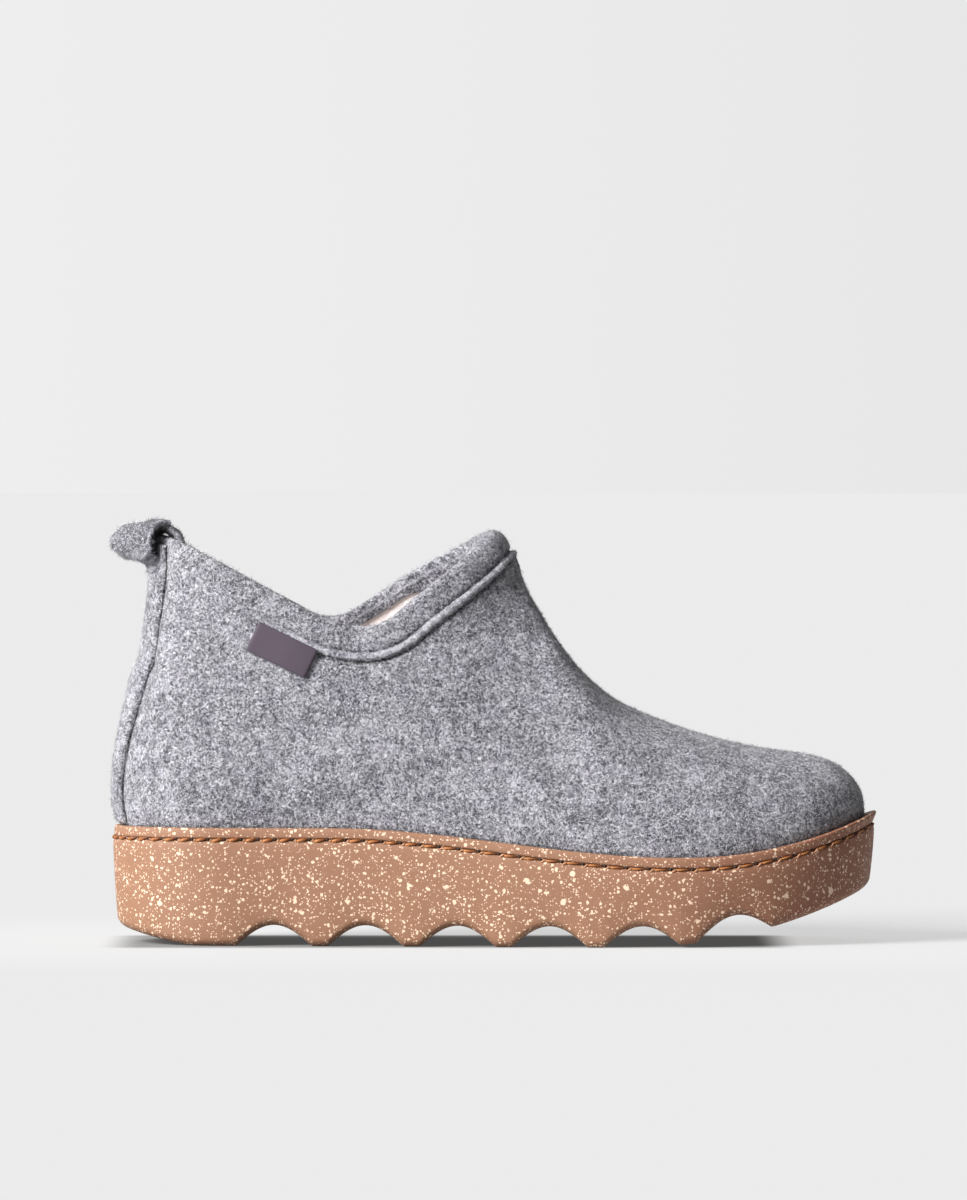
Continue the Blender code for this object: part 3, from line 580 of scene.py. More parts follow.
def speckled_rubber():
    """Tan rubber, redder towards the toe, with three sizes of cream crumbs and a fine grain."""
    finish = Finish("speckled_rubber_finish", Roughness=0.62, Specular_IOR_Level=0.35)
    warped = finish.warped(900, 0.0011)
    loose = finish.warped(350, 0.0030)
    small = crumbs(finish, 1300, 0.66, 0.48, warped)
    middle = crumbs(finish, 680, 0.62, 0.44, warped)
    large = crumbs(finish, 330, 0.42, 0.32, loose)
    chips = small.math("MAXIMUM", small.math("MAXIMUM", small, middle), large)
    along = finish.node("SeparateXYZ", {0: finish.place}, output="X")
    toe = along.step(0.02, 0.13)
    body = finish.mix(toe, (0.200, 0.098, 0.055), (0.190, 0.076, 0.044))
    cloud = finish.noise(120, detail=4, roughness=0.6)
    body = finish.mix(cloud.step(0.35, 0.7) * 0.25, body, (0.25, 0.13, 0.078))
    grain = finish.noise(2600, detail=2)
    body = finish.mix(grain.step(0.45, 0.75) * 0.25, body, (0.30, 0.17, 0.11))
    colour = finish.mix(chips, body, (0.60, 0.43, 0.31))
    height = grain * 0.5 + chips * 0.25 + finish.noise(500, detail=2) * 0.4
    return finish.done(colour, height, 0.00012, 0.60 + grain * 0.1)


def waxed_thread():
    """Orange at a stitch's start, darker towards its end, and nearly black in the hole behind it: the
    darkening and the black hole are painted shade.
    """
    finish = Finish("waxed_thread_finish", Specular_IOR_Level=0.3)
    strand = finish.noise(1800, detail=2)
    end = finish.mark("end")
    stops = [
        (0.0, (0.42, 0.21, 0.115)), (0.20, (0.34, 0.130, 0.036)), (0.50, (0.20, 0.064, 0.016)),
        (0.85, (0.050, 0.016, 0.007)), (1.0, (0.020, 0.009, 0.006)),
    ]
    colour = finish.node("ValToRGB", {"Fac": end + (strand - 0.5) * 0.35}, stops=stops)
    return finish.done(colour, strand, 0.00015, 0.5 + strand * 0.1)


RUBBER = speckled_rubber()
THREAD = waxed_thread()
print("Sole and thread finishes are made")


# %% Sole piece
def spread_stations(count):
    """Stations crowded towards both ends, as (1 - cos) / 2 of an even angle, so that the ends are round."""
    return 0.5 * (1 - np.cos(np.linspace(0, math.pi, count)))


def sole_stations():
    """Round ends, and even steps of 0.8 mm along the arches between."""
    ends = spread_stations(120)
    middle = np.arange(0.12, 0.90, 0.0008 / SOLE_LENGTH)
    return np.unique(np.concatenate([ends[ends < 0.12], middle, ends[ends > 0.90]]).round(7))


def side_rings():
    """The side as (inset, share of the side's height, rise above that share), from floor to cup."""
    turn = np.linspace(0, math.pi / 2, 7)
    set_in, round_up, top = 0.0014, 0.0030, -0.0062
    foot = [(set_in + 0.0034 * (1 - math.sin(a)), 0.0, round_up * (1 - math.cos(a))) for a in turn]
    shares = np.linspace(0, 1, 8)[1:]
    wall = [(set_in * (1 - s) ** 1.5, s, round_up * (1 - s) + top * s) for s in shares]
    groove = [
        (0.0001, 1, -0.0052), (0.0003, 1, -0.0047), (0.0008, 1, -0.0044), (0.0012, 1, -0.0041),
        (0.0012, 1, -0.0038), (0.0008, 1, -0.0035), (0.0004, 1, -0.0033), (0.0003, 1, -0.0029),
    ]
    cup = LIP_WIDTH - CLEAR
    lip = [
        (0.0004, 1, -0.0018), (0.0004, 1, -0.0008), (0.0006, 1, -0.0003), (0.0010, 1, 0.0),
        (cup - 0.0004, 1, 0.0), (cup, 1, -0.0004), (cup, 1, -CUP_DEPTH),
    ]
    return foot + wall + groove + lip


def ring_half(station, side, inset, share, rise, flare=0.0):
    """One half of a ring: its points between the underside and the lip, opened out by flare at the toe."""
    opened = inset - flare * smoothstep(0.90, 1.0, station)
    edge, _ = outline(station, side, opened)
    low, high = underside_height(edge[:, 0]), lip_height(edge[:, 0])
    return np.column_stack([edge, low * (1 - share) + high * share + rise])


def ring_stack(station, rings):
    """Stacked rings as two halves, lateral and medial. Each ring is the last values of ring_half."""
    return [np.stack([ring_half(station, side, *ring) for ring in rings], 1) for side in SIDES]


def sheet_across(halves, level, columns):
    """A sheet from side to side inside the ring at one level."""
    share = np.linspace(0, 1, columns)[None, :, None]
    return halves[0][:, level, None] * (1 - share) + halves[1][:, level, None] * share


LIP_FLARE = 0.0012


def make_sole():
    """The side as stacked rings, with the lip opened out at the toe, closed by sheets below and above."""
    rings = []
    for inset, share, rise in side_rings():
        out = (share == 1) * (inset < 0.002) * smoothstep(-0.0034, -0.0006, rise)
        rings.append((inset, share, rise, LIP_FLARE * out))
    halves = ring_stack(sole_stations(), rings)
    under = sheet_across(halves, 0, 13)
    under[:, 1:-1, 2] = underside_height(under[:, 1:-1, 0])
    grids = [(halves[0], False), (halves[1], True), (under, True), (sheet_across(halves, -1, 2), False)]
    piece("wave_sole", grids, RUBBER, ["sole"])


make_sole()

# %% [markdown]
# ## Felt wall
#
# The upper is one sheet of felt pulled over the last. Each section of it is a cubic curve from the sole's
# lip up to the collar's seam, or over the instep to the ridge. Its four control points come from
# the tables, so the vamp, the waist and the heel keep the shape of the CAD part.


# %% Collar and ridge lines
def collar_rim(way, side):
    """Points on the collar's top edge, as shares of the way from heel to front."""
    keys, at = round_key(COLLAR_ROWS[:, WAY] * FRONT), round_key(np.asarray(way) * FRONT)
    x = SOLE_LENGTH * through(keys, COLLAR_ROWS[:, RIM_X[side]], at, (True, True))
    y = side * COLLAR_WIDTH * through(keys, COLLAR_ROWS[:, RIM_HALF], at)
    z = HEEL_HEIGHT + COLLAR_RISE * through(keys, COLLAR_ROWS[:, RIM_UP[side]], at, (True, True))
    return np.stack([x, y, z], -1)


def collar_frame(way, side):
    """Rim, its forward tangent, and the band's and the wall's directions down from it."""
    way = np.asarray(way, float)
    rim = collar_rim(way, side)
    ahead, behind = (collar_rim(np.clip(way + d, 0, 1), side) for d in (1e-3, -1e-3))
    run = ahead - behind
    run[way <= 0] = (0.0, side, 0.0)
    run[way >= 1] = (0.0, -side, 0.0)
    forward = unit(run)
    plan = unit(forward * (1.0, 1.0, 0.0))
    outward = np.stack([-plan[:, 1], plan[:, 0], 0 * way], -1) * side
    keys, downs = round_key(COLLAR_ROWS[:, WAY] * FRONT), []
    for index in (FLARE, LEAN):
        lean = through(keys, COLLAR_ROWS[:, index], round_key(way * FRONT))
        down = lean[:, None] * outward - np.array([0.0, 0.0, 1.0])
        downs.append(unit(down - (down * forward).sum(-1, keepdims=True) * forward))
    return rim, forward, downs[0], downs[1]


def foot_line(station, side):
    """Where the felt comes out of the cup of the sole, and the outward direction there."""
    edge, normal = outline(station, side, LIP_WIDTH)
    return np.column_stack([edge, lip_height(edge[:, 0])]), np.column_stack([normal, 0 * edge[:, 0]])


def ridge_points(way):
    """Points on the ridge of the instep, from the seam's front to the end of the toe box."""
    rim, _, band_down, _ = collar_frame(np.array([1.0]), LATERAL)
    start = (rim + BAND_HEIGHT * band_down)[0]
    toe, _ = foot_line(np.array([1.0]), LATERAL)
    end_x, end_z = toe[0, 0] - TOE_BOX_LENGTH, TOE_HEIGHT + TOE_BOX_RISE
    keys = round_key(FRONT + (1 - FRONT) * RIDGE_ROWS[:, WAY])
    at = round_key(FRONT + (1 - FRONT) * np.asarray(way))
    run = through(keys, RIDGE_ROWS[:, RIDGE_RUN], at, (False, True))
    height = through(keys, RIDGE_ROWS[:, RIDGE_HEIGHT], at, (False, True))
    x, y = start[0] + (end_x - start[0]) * run, TOE_TURN * smoothstep(0.1, 1.0, run)
    return np.stack([x, y, end_z + (start[2] - end_z) * height], -1)


# %% Sections of the wall
def section_shares(station):
    """The tables' last four columns at each station: along, across, rise and belly."""
    shares = np.empty((len(station), 4))
    collar = station < FRONT
    for rows, mask, keys, columns in (
        (COLLAR_ROWS, collar, COLLAR_ROWS[:, WAY] * FRONT, COLLAR_SHARES),
        (RIDGE_ROWS, ~collar, FRONT + (1 - FRONT) * RIDGE_ROWS[:, WAY], RIDGE_SHARES),
    ):
        for k, index in enumerate(columns):
            shares[mask, k] = through(round_key(keys), rows[:, index], round_key(station[mask]))
    return shares


def sections(station, side):
    """Four control points of each section: foot, belly, shoulder and top, and the way outward."""
    foot, outward = foot_line(station, side)
    top, shoulder = np.empty_like(foot), np.empty_like(foot)
    shares = section_shares(station)
    collar = station < FRONT
    if collar.any():
        rim, forward, band_down, wall_down = collar_frame(station[collar] / FRONT, side)
        seam = rim + BAND_HEIGHT * band_down
        tall = (seam[:, 2] - foot[collar, 2])[:, None]
        reach = np.abs(foot[collar, 1] - seam[:, 1])[:, None]
        top[collar] = seam
        shoulder[collar] = seam + shares[collar, :1] * tall * wall_down
        shoulder[collar] -= shares[collar, 1:2] * reach * forward
    ridge = ~collar
    if ridge.any():
        way = (station[ridge] - FRONT) / (1 - FRONT)
        points = ridge_points(way)
        near = np.clip(way, 0.002, TOE_SLOPE_FROM)
        slope = ridge_points(near + 0.002) - ridge_points(near - 0.002)
        slope = slope / slope[:, :1]
        ahead = (foot[ridge, 0] - points[:, 0])[:, None]
        top[ridge] = points
        shoulder[ridge] = points + shares[ridge, :1] * ahead * slope
        shoulder[ridge, 1] += shares[ridge, 1] * (foot[ridge, 1] - points[:, 1])
    belly = foot + BALL_WIDTH * shares[:, 3:] * outward
    belly[:, 2:] += shares[:, 2:3] * (top[:, 2:] - foot[:, 2:])
    return foot, belly, shoulder, top, outward


def counter_bulge(grid):
    """The heel counter under the felt: a tanh step along its top edge, fading with distance from it."""
    x, z = grid[..., 0], grid[..., 2]
    above = z - (HEEL_HEIGHT + COUNTER_RISE * COLLAR_RISE - COUNTER_FALL * x)
    fade = (1 - smoothstep(*COUNTER_FADE, x / SOLE_LENGTH)) * np.exp(-np.abs(above) / COUNTER_SPREAD)
    return -COUNTER_STEP / 2 * fade * np.tanh(above / COUNTER_EDGE)


def wall_grid(station, side, rows):
    """The wall's points: a cubic Bezier curve for each section, and a straight hem for rows below 0."""
    foot, belly, shoulder, top, outward = sections(station, side)
    rows = np.asarray(rows, float)
    t = np.clip(rows, 0.0, 1.0)[None, :, None]
    grid = foot[:, None] * (1 - t) ** 3 + 3 * belly[:, None] * t * (1 - t) ** 2
    grid = grid + 3 * shoulder[:, None] * t**2 * (1 - t) + top[:, None] * t**3
    grid[..., 2] += np.minimum(rows, 0.0) * (CUP_DEPTH - CLEAR)
    return grid + counter_bulge(grid)[..., None] * outward[:, None]


BEAD_WIDTH = 0.0027
BEAD_RAISED = 0.0015
BEAD_START = (0.10, 0.16)
BEAD_FULL = (0.33, 0.44)
BEAD_FAINT = 0.2
BAND_PAD = 0.0003
BAND_PAD_FRONT = 0.0012


def bead_strength(way):
    """How far the seam's bead is raised: hardly at all behind the tab, and fully in front of it."""
    return BEAD_FAINT * smoothstep(*BEAD_START, way) + (1 - BEAD_FAINT) * smoothstep(*BEAD_FULL, way)


def bead_profile(up):
    """A half circle over the bead's width: 1 at its middle, and 0 from its edge upward."""
    half = BEAD_WIDTH / 2
    return np.sqrt(np.clip(1 - ((up - half) / half) ** 2, 0, None))


def band_grid(way, side, shares, detail=1.0):
    """The folded band: straight from seam to rim, with a round bead at its foot and a crease above."""
    rim, forward, band_down, _ = collar_frame(way, side)
    proud = unit(np.cross(forward, band_down)) * side
    up = shares * BAND_HEIGHT
    crease = bell(up - BEAD_WIDTH - 0.0003, 0.0006)
    lift = bead_strength(way)[:, None] * (BEAD_RAISED * bead_profile(up) - 0.0005 * crease)[None]
    padded = np.clip((up - BEAD_WIDTH) / (1.08 * BAND_HEIGHT - BEAD_WIDTH), 0, 1)
    pad = BAND_PAD + BAND_PAD_FRONT * smoothstep(0.80, 1.0, way)
    lift = lift + pad[:, None] * np.sin(math.pi * padded)[None] ** 0.7
    down = (BAND_HEIGHT - up)[None, :, None] * band_down[:, None]
    return rim[:, None] + down + detail * lift[..., None] * proud[:, None]


print("Front of the collar:", (1000 * collar_rim(np.array([1.0]), LATERAL)[0]).round(1), "mm")

# %% [markdown]
# ## Soft relief
#
# Pressed felt is never dead flat. A few long, low waves and a fine cockle keep the highlights alive, and a
# trough under the seam shows where the stitches pull the wall in. A sum of sine waves in
# random directions is smooth, quick and the same on every run.


# %% Relief of the felt
def ripple(points, size, seed, count=18):
    """Sum of sine waves of about one size, each with its own direction and phase, of about -1 to 1."""
    rng = np.random.default_rng(seed)
    ways = unit(rng.normal(size=(count, 3)))
    ways = ways * (2 * math.pi / (size * rng.uniform(0.7, 1.4, (count, 1))))
    return np.sin(points @ ways.T + rng.uniform(0, 2 * math.pi, count)).sum(-1) / math.sqrt(count)


def felt_relief(points, rows):
    """Metres to move the felt outward: two sizes of ripple, the larger fading out near the sole."""
    calm = smoothstep(0.0, 0.25, rows)
    relief = 0.00012 * ripple(points, 0.040, 3) * calm + 0.00006 * ripple(points, 0.009, 4)
    return relief * smoothstep(-1.0, 0.0, rows)


TROUGH_DEPTH = 0.0009
TROUGH_WIDTH = 0.0010


def seam_trough(way, length):
    """Depth of the crease just below the bead, at a length down the wall from the seam."""
    return -TROUGH_DEPTH * bead_strength(way)[:, None] * bell(length, TROUGH_WIDTH)


# %% Base sheet of the felt
STATIONS = spread_stations(301)
STATIONS[np.argmin(np.abs(STATIONS - FRONT))] = FRONT
COLLAR = STATIONS <= FRONT
ON_COLLAR = STATIONS[COLLAR] / FRONT
ROWS = np.concatenate([[-1.0, -0.4], np.linspace(0, 0.93, 62), np.linspace(0.93, 1.0, 19)[1:]])
BAND = np.concatenate([np.linspace(0, 0.32, 15), np.linspace(0.32, 1.0, 12)[1:]])


def eased(wall):
    """The wall with its instep evened out along the stations, so that no fold shows there."""
    steps = np.arange(-14, 15)
    weight = np.exp(-0.5 * (steps / 5.0) ** 2)
    index = np.clip(np.arange(len(wall))[:, None] + steps, 0, len(wall) - 1)
    even = (wall[index] * (weight / weight.sum())[None, :, None, None]).sum(1)
    along = smoothstep(0.44, 0.52, STATIONS) * smoothstep(0.90, 0.80, STATIONS)
    up = smoothstep(0.0, 0.15, ROWS) * smoothstep(1.0, 0.90, ROWS)
    return wall + (along[:, None] * up)[..., None] * (even - wall)


def wall_marks(wall, length):
    """Crease and bead marks of the wall: painted shade under the bead and where the felt goes into the sole.
    """
    under = np.zeros(wall.shape[:2])
    under[COLLAR] = bead_strength(ON_COLLAR)[:, None] * bell(length[COLLAR] - 0.0003, 0.0006)
    above_lip = np.clip(wall[..., 2] - lip_height(wall[..., 0]), 0, None)
    foot = 0.8 * bell(above_lip, 0.0008)
    return np.stack([np.maximum(under, foot), 0 * under], -1)


def band_marks():
    """Crease and bead marks of the band: a line of painted shade above the bead and at the seam, and the
    bead itself.
    """
    up = BAND * BAND_HEIGHT
    above = 0.5 * bell(up - BEAD_WIDTH - 0.0004, 0.0004) + 0.7 * bell(up, 0.0003)
    return bead_strength(ON_COLLAR)[:, None, None] * np.stack([above, bead_profile(up)], -1)[None]


def base_sheet():
    """The felt's outer face: its points, normals, marks and quads, and four grids of point numbers."""
    grids = []
    for side in SIDES:
        plain = eased(wall_grid(STATIONS, side, ROWS))
        step = np.linalg.norm(np.diff(plain, axis=1), axis=-1)
        length = np.zeros(plain.shape[:2])
        length[:, :-1] = np.cumsum(step[:, ::-1], axis=1)[:, ::-1]
        *_, outward = sections(STATIONS, side)
        lift = np.zeros(plain.shape[:2])
        lift[COLLAR] = seam_trough(ON_COLLAR, length[COLLAR]) * (length[COLLAR] > 0)
        wall = plain + lift[..., None] * outward[:, None]
        band, plain_band = (band_grid(ON_COLLAR, side, BAND, detail) for detail in (1.0, 0.0))
        band[:, 0] = wall[COLLAR, -1]
        for rows in ((wall, wall_marks(wall, length), plain), (band, band_marks(), plain_band)):
            grids.append((np.concatenate(rows, -1), side == MEDIAL))
    points, quads, index = welded(*gathered(grids))
    points, marks, plain = points[:, :3], points[:, 3:5], points[:, 5:]
    normals = vertex_normals(points, quads)
    numbers, count = [], 0
    for grid, _ in grids:
        size = grid.shape[0] * grid.shape[1]
        numbers.append(index[count:count + size].reshape(grid.shape[:2]))
        count += size
    rows = np.ones(len(points))
    for number in (numbers[0], numbers[2]):
        rows[number] = ROWS[None]
    points = points + felt_relief(points, rows)[:, None] * normals
    return points, marks, plain, vertex_normals(plain, quads), numbers


SHEET, SHEET_MARKS, PLAIN, PLAIN_NORMALS, SHEET_NUMBERS = base_sheet()
print("Felt sheet:", len(SHEET), "points")


# %% Shells offset from the sheet
FRONT_PAD = 0.0016
PAD_ALONG, PAD_UP = (0.118, 0.130), (0.124, 0.134)


def front_pad(points):
    """How much deeper the inner faces lie, behind the padded front of the collar."""
    return FRONT_PAD * (smoothstep(*PAD_ALONG, points[..., :1]) * smoothstep(*PAD_UP, points[..., 2:]))


def shell(outer_depth, inner_depth, wall_from, band_to, inner_every=4):
    """A closed wall between two depths inside the sheet, with a round rim. Depth 0 is the detailed face."""
    pad = front_pad(SHEET)
    outer = PLAIN - (outer_depth + pad) * PLAIN_NORMALS if outer_depth else SHEET
    outer = np.column_stack([outer, SHEET_MARKS])
    inner = np.column_stack([PLAIN - (inner_depth + pad) * PLAIN_NORMALS, 0 * SHEET_MARKS])
    first = int(np.searchsorted(ROWS, wall_from))
    last = int(np.argmin(np.abs(BAND - band_to)))
    thin = np.unique([*range(first, len(ROWS), inner_every), len(ROWS) - 1])
    grids = []
    for k, side in enumerate(SIDES):
        turned = side == MEDIAL
        wall, band = SHEET_NUMBERS[2 * k], SHEET_NUMBERS[2 * k + 1][:, :last + 1]
        grids += [(outer[wall[:, first:]], turned), (inner[wall[:, thin]], not turned)]
        grids += [(outer[band], turned), (inner[band], not turned)]
        ends = wall[:, first]
        grids.append((np.stack([outer[ends], inner[ends]], 1), not turned))
        edge = band[:, -1]
        up = outer[edge] - outer[band[:, -2]]
        up[:, 3:] = 0
        angle = np.linspace(0, math.pi, 9)[None, :, None]
        middle = ((outer[edge] + inner[edge]) / 2)[:, None]
        out = ((outer[edge] - inner[edge]) / 2)[:, None]
        radius = np.linalg.norm(out[..., :3], axis=-1, keepdims=True)
        rim = middle + np.cos(angle) * out + np.sin(angle) * radius * unit(up)[:, None]
        rim[:, 0], rim[:, -1] = outer[edge], inner[edge]
        grids.append((rim, turned))
    return grids


felt_wall = piece("felt_wall", shell(0.0, WALL, -1.0, 0.93), FELT, ["upper"], marks=FELT_MARKS)
lining = piece("fleece_lining", shell(WALL + 0.0002, WALL + 0.0019, 0.03, 0.63, 3), FLEECE)

FACING_FROM = 0.54
FACING_CUT = 0.50
FACING_DEPTH = WALL + 0.0029
FACING_THICKNESS = 0.0009
# Painted shade over the whole facing, which lies in shade inside the collar.
FACING_PAINTED_SHADE = 0.32


def make_facing():
    """The band's felt turned in over the fleece: a thin ring, cut lower towards the front of the collar, and
    darkened all over by painted shade.
    """
    grids, last = [], BAND[-3]
    for k, side in enumerate(SIDES):
        band = SHEET_NUMBERS[2 * k + 1]
        start = FACING_FROM - FACING_CUT * smoothstep(0.102, 0.122, PLAIN[band[:, 0], :1])
        level = start + (last - start) * np.linspace(0, 1, 24)
        place = np.interp(level, BAND, np.arange(len(BAND)))
        row, below, part = np.arange(len(band))[:, None], place.astype(int), (place % 1)[..., None]
        point, normal = (
            (1 - part) * of[band][row, below] + part * of[band][row, below + 1]
            for of in (PLAIN, PLAIN_NORMALS)
        )
        raised = smoothstep(0.76, last, level)[..., None]
        depth = FACING_DEPTH - (FACING_DEPTH - WALL + 0.0012) * raised + front_pad(point)
        near = point - depth * normal
        far = point - (depth - FACING_THICKNESS) * normal
        far[:, (0, -1)] = near[:, (0, -1)]
        grids.append((marked(far, FACING_PAINTED_SHADE), side == MEDIAL))
        grids.append((marked(near, FACING_PAINTED_SHADE), side == LATERAL))
    piece("collar_facing", grids, FELT, marks=FELT_MARKS)


make_facing()

# %% [markdown]
# ## Footbed
#
# The footbed is a padded board covered in the same fleece. Only its middle shows through the collar, as a
# soft sheet with a rounded edge, so it is a shallow dome over the same outline.


# %% Footbed piece
INSOLE_THICKNESS = 0.0045


def make_footbed():
    """Rings up the edge, rounded over, a flat sheet below and a domed one with low ripples on top."""
    inset, floor = LIP_WIDTH + WALL + 2 * CLEAR, CLEAR - CUP_DEPTH
    radius = 0.4 * INSOLE_THICKNESS
    rings = [(inset, 1.0, floor)]
    for turn in np.linspace(0, math.pi / 2, 6):
        rise = floor + INSOLE_THICKNESS - radius * (1 - math.sin(turn))
        rings.append((inset + radius * (1 - math.cos(turn)), 1.0, rise))
    halves = ring_stack(spread_stations(181), rings)
    top = sheet_across(halves, -1, 41)
    dome = np.sin(math.pi * np.linspace(0, 1, 41)) ** 0.5
    top[..., 2] += dome * (0.0003 + 0.00025 * ripple(top, 0.012, 8))
    grids = [(halves[0], False), (halves[1], True), (sheet_across(halves, 0, 2), True), (top, False)]
    piece("fleece_footbed", grids, FLEECE, ["insole"])


make_footbed()

# %% [markdown]
# ## Heel strip and pull loop
#
# A strip of felt covers the seam at the back of the heel, and a felt tape is folded over the rim into a
# finger loop. Both are flat bands with soft cut edges. The strip is laid on the wall along its
# length, and the tape follows a spline in the plane of the heel before it is turned to the lateral side.


# %% Heel strip piece
STRIP_WIDTH = 0.029
STRIP_THICKNESS = 0.0022
STRIP_GAP = 1.3 * CLEAR
STRIP_END = 0.0012
THIN_UNDER_TAPE = 0.45
STRIP_ROWS = np.array((
    # height, half width as a share of STRIP_WIDTH
    (0.00, 0.36),
    (0.25, 0.40),
    (0.45, 0.48),
    (0.62, 0.53),
    (0.80, 0.49),
    (1.00, 0.50),
))
LOOP_DROP = 0.0084
TAPE_OUTSIDE = 0.0033
LOOP_BASE = HEEL_HEIGHT + 0.98 * COLLAR_RISE - LOOP_DROP - TAPE_OUTSIDE


def strip_line(rows, shares, share):
    """Points across the heel at each row of the wall and of the band, and the outward direction at each."""
    reach = np.linspace(0, 0.16, 90)
    lateral, medial = (
        np.concatenate([wall_grid(reach, side, rows), band_grid(reach / FRONT, side, shares)], 1)
        for side in SIDES
    )
    middle = lateral[0, :, 2]
    tall = np.clip((middle - middle[0]) / (LOOP_BASE - middle[0]), 0, 1)
    half = STRIP_WIDTH * through(STRIP_ROWS[:, 0], STRIP_ROWS[:, 1], tall)
    placed, outward = [], []
    for row in range(len(middle)):
        line = np.concatenate([lateral[:0:-1, row], medial[:, row]])
        length = arc_length(line)
        at = length[len(reach) - 1] + share * half[row]
        curve = np.stack([np.interp(at, length, line[:, k]) for k in range(3)], -1)
        run = np.gradient(curve[:, :2], axis=0)
        placed.append(curve)
        outward.append(np.column_stack([unit(np.stack([-run[:, 1], run[:, 0]], -1)), 0 * at]))
    return np.stack(placed), np.stack(outward)


def make_heel_strip():
    """A band whose thickness falls off at its long edges and its ends, and is less under the tape. Its
    middle under the tape is darkened by painted shade.
    """
    fine = np.linspace(0, 1, 400)
    profile = wall_grid(np.array([0.0]), LATERAL, fine)[0, :, 2]
    start = np.interp(HEEL_HEIGHT + 2 * CLEAR, profile, fine)
    share = np.sin(np.linspace(-math.pi / 2, math.pi / 2, 33))
    inner, outward = strip_line(np.linspace(start, 1, 80), np.linspace(0.02, 0.86, 12), share)
    inner = inner + STRIP_GAP * outward
    height = inner[:, 16, 2]
    lower, upper = (np.clip(gap / STRIP_END, 0.1, 1) for gap in (height - height[0], height[-1] - height))
    under_tape = 1 - THIN_UNDER_TAPE * smoothstep(LOOP_BASE - 0.002, LOOP_BASE + 0.003, height)
    thick = STRIP_THICKNESS * blunt(share, 14)[None] * (np.sqrt(lower * upper) * under_tape)[:, None]
    thick = np.maximum(thick + 0.00015 * ripple(inner, 0.006, 12), 0.0002)
    outer = inner + thick[..., None] * outward
    outer[:, (0, -1)] = inner[:, (0, -1)]
    # Painted shade on the strip's middle, where the tape hangs over it.
    covered = smoothstep(LOOP_BASE + 0.003, LOOP_BASE + 0.006, height)
    shade = covered[:, None] * smoothstep(0.85, 0.6, np.abs(share))
    grids = slab(marked(inner, shade), marked(outer, shade))
    return piece("heel_felt", grids, FELT_STRIP, ["heel_strip"], marks=FELT_MARKS)


heel_felt = make_heel_strip()

# %% Pull loop piece
TAPE_WIDTH = 0.022
TAPE_THICKNESS = 0.0026
TAPE_INSIDE = 0.013
BAND_CLEARANCE = 0.0011
LOOP_REACH = 0.0127
LOOP_RISE = 0.0063
LOOP_TURN = math.radians(40)
LOOP_TURNS = (-0.0045, 0.0030)
PRESSED = 0.0022
PRESSED_FROM, PRESSED_TO = (-0.0032, -0.0008), (0.0100, 0.0045)
LOBE_FROM = (0.004, 0.009)
LOOP_ROWS = (
    # back: share of LOOP_REACH; up: of LOOP_RISE; down: of LOOP_DROP; cup: how far it curves to the collar
    (0.00, 0.84, 0.00, 0.1),
    (0.50, 1.00, 0.00, 0.0),
    (0.89, 0.57, 0.00, 0.0),
    (1.00, 0.00, 0.14, 0.0),
    (0.89, 0.00, 0.83, 0.0),
    (0.50, 0.00, 1.00, 0.2),
)


def loop_path(count):
    """Centre line of the tape as x, z and cup: from inside the collar over the rim and round to the heel."""
    rim, _, band_down, _ = collar_frame(np.array([0.0]), LATERAL)
    back, top = rim[0, 0], rim[0, 2]
    half = TAPE_THICKNESS / 2
    inside = back + WALL + BAND_CLEARANCE + CLEAR + half
    below = back + (top - LOOP_BASE) * band_down[0, 0] / -band_down[0, 2]
    outside = below - STRIP_GAP - half
    spine = [(inside, top - TAPE_INSIDE, 1.0), (inside, top - 0.3 * TAPE_INSIDE, 1.0)]
    spine += [(inside - half / 2, top + half, 0.65)]
    for away, up, down, cup in LOOP_ROWS:
        z = top + up * (LOOP_RISE - half) - down * (LOOP_DROP - half)
        spine.append((back - away * (LOOP_REACH - half), z, cup))
    spine += [(outside - half / 2, top - LOOP_DROP, 0.8)]
    spine += [(outside, LOOP_BASE + 0.6 * TAPE_OUTSIDE, 1.0), (outside, LOOP_BASE, 1.0)]
    spine = np.array(spine)
    key = arc_length(spine[:, :2])
    at = np.linspace(0, key[-1], count)
    return np.stack([through(key, spine[:, k], at) for k in range(3)], -1), back


def pressed_down(behind, y, z, rim_top):
    """Heights with the medial half pressed shut near the heel and the lobe's medial edge rounded off."""
    closed = 0.9 * smoothstep(-0.003, 0.004, y) * smoothstep(*PRESSED_FROM, behind)
    closed = closed * smoothstep(*PRESSED_TO, behind) * smoothstep(LOOP_BASE + 0.002, LOOP_BASE + 0.006, z)
    z = z + closed * (rim_top - PRESSED - z)
    rounded = 0.45 * smoothstep(0.15, 1.0, 2 * y / TAPE_WIDTH) ** 2 * smoothstep(*LOBE_FROM, behind)
    return z + rounded * (rim_top - 0.0010 - z)


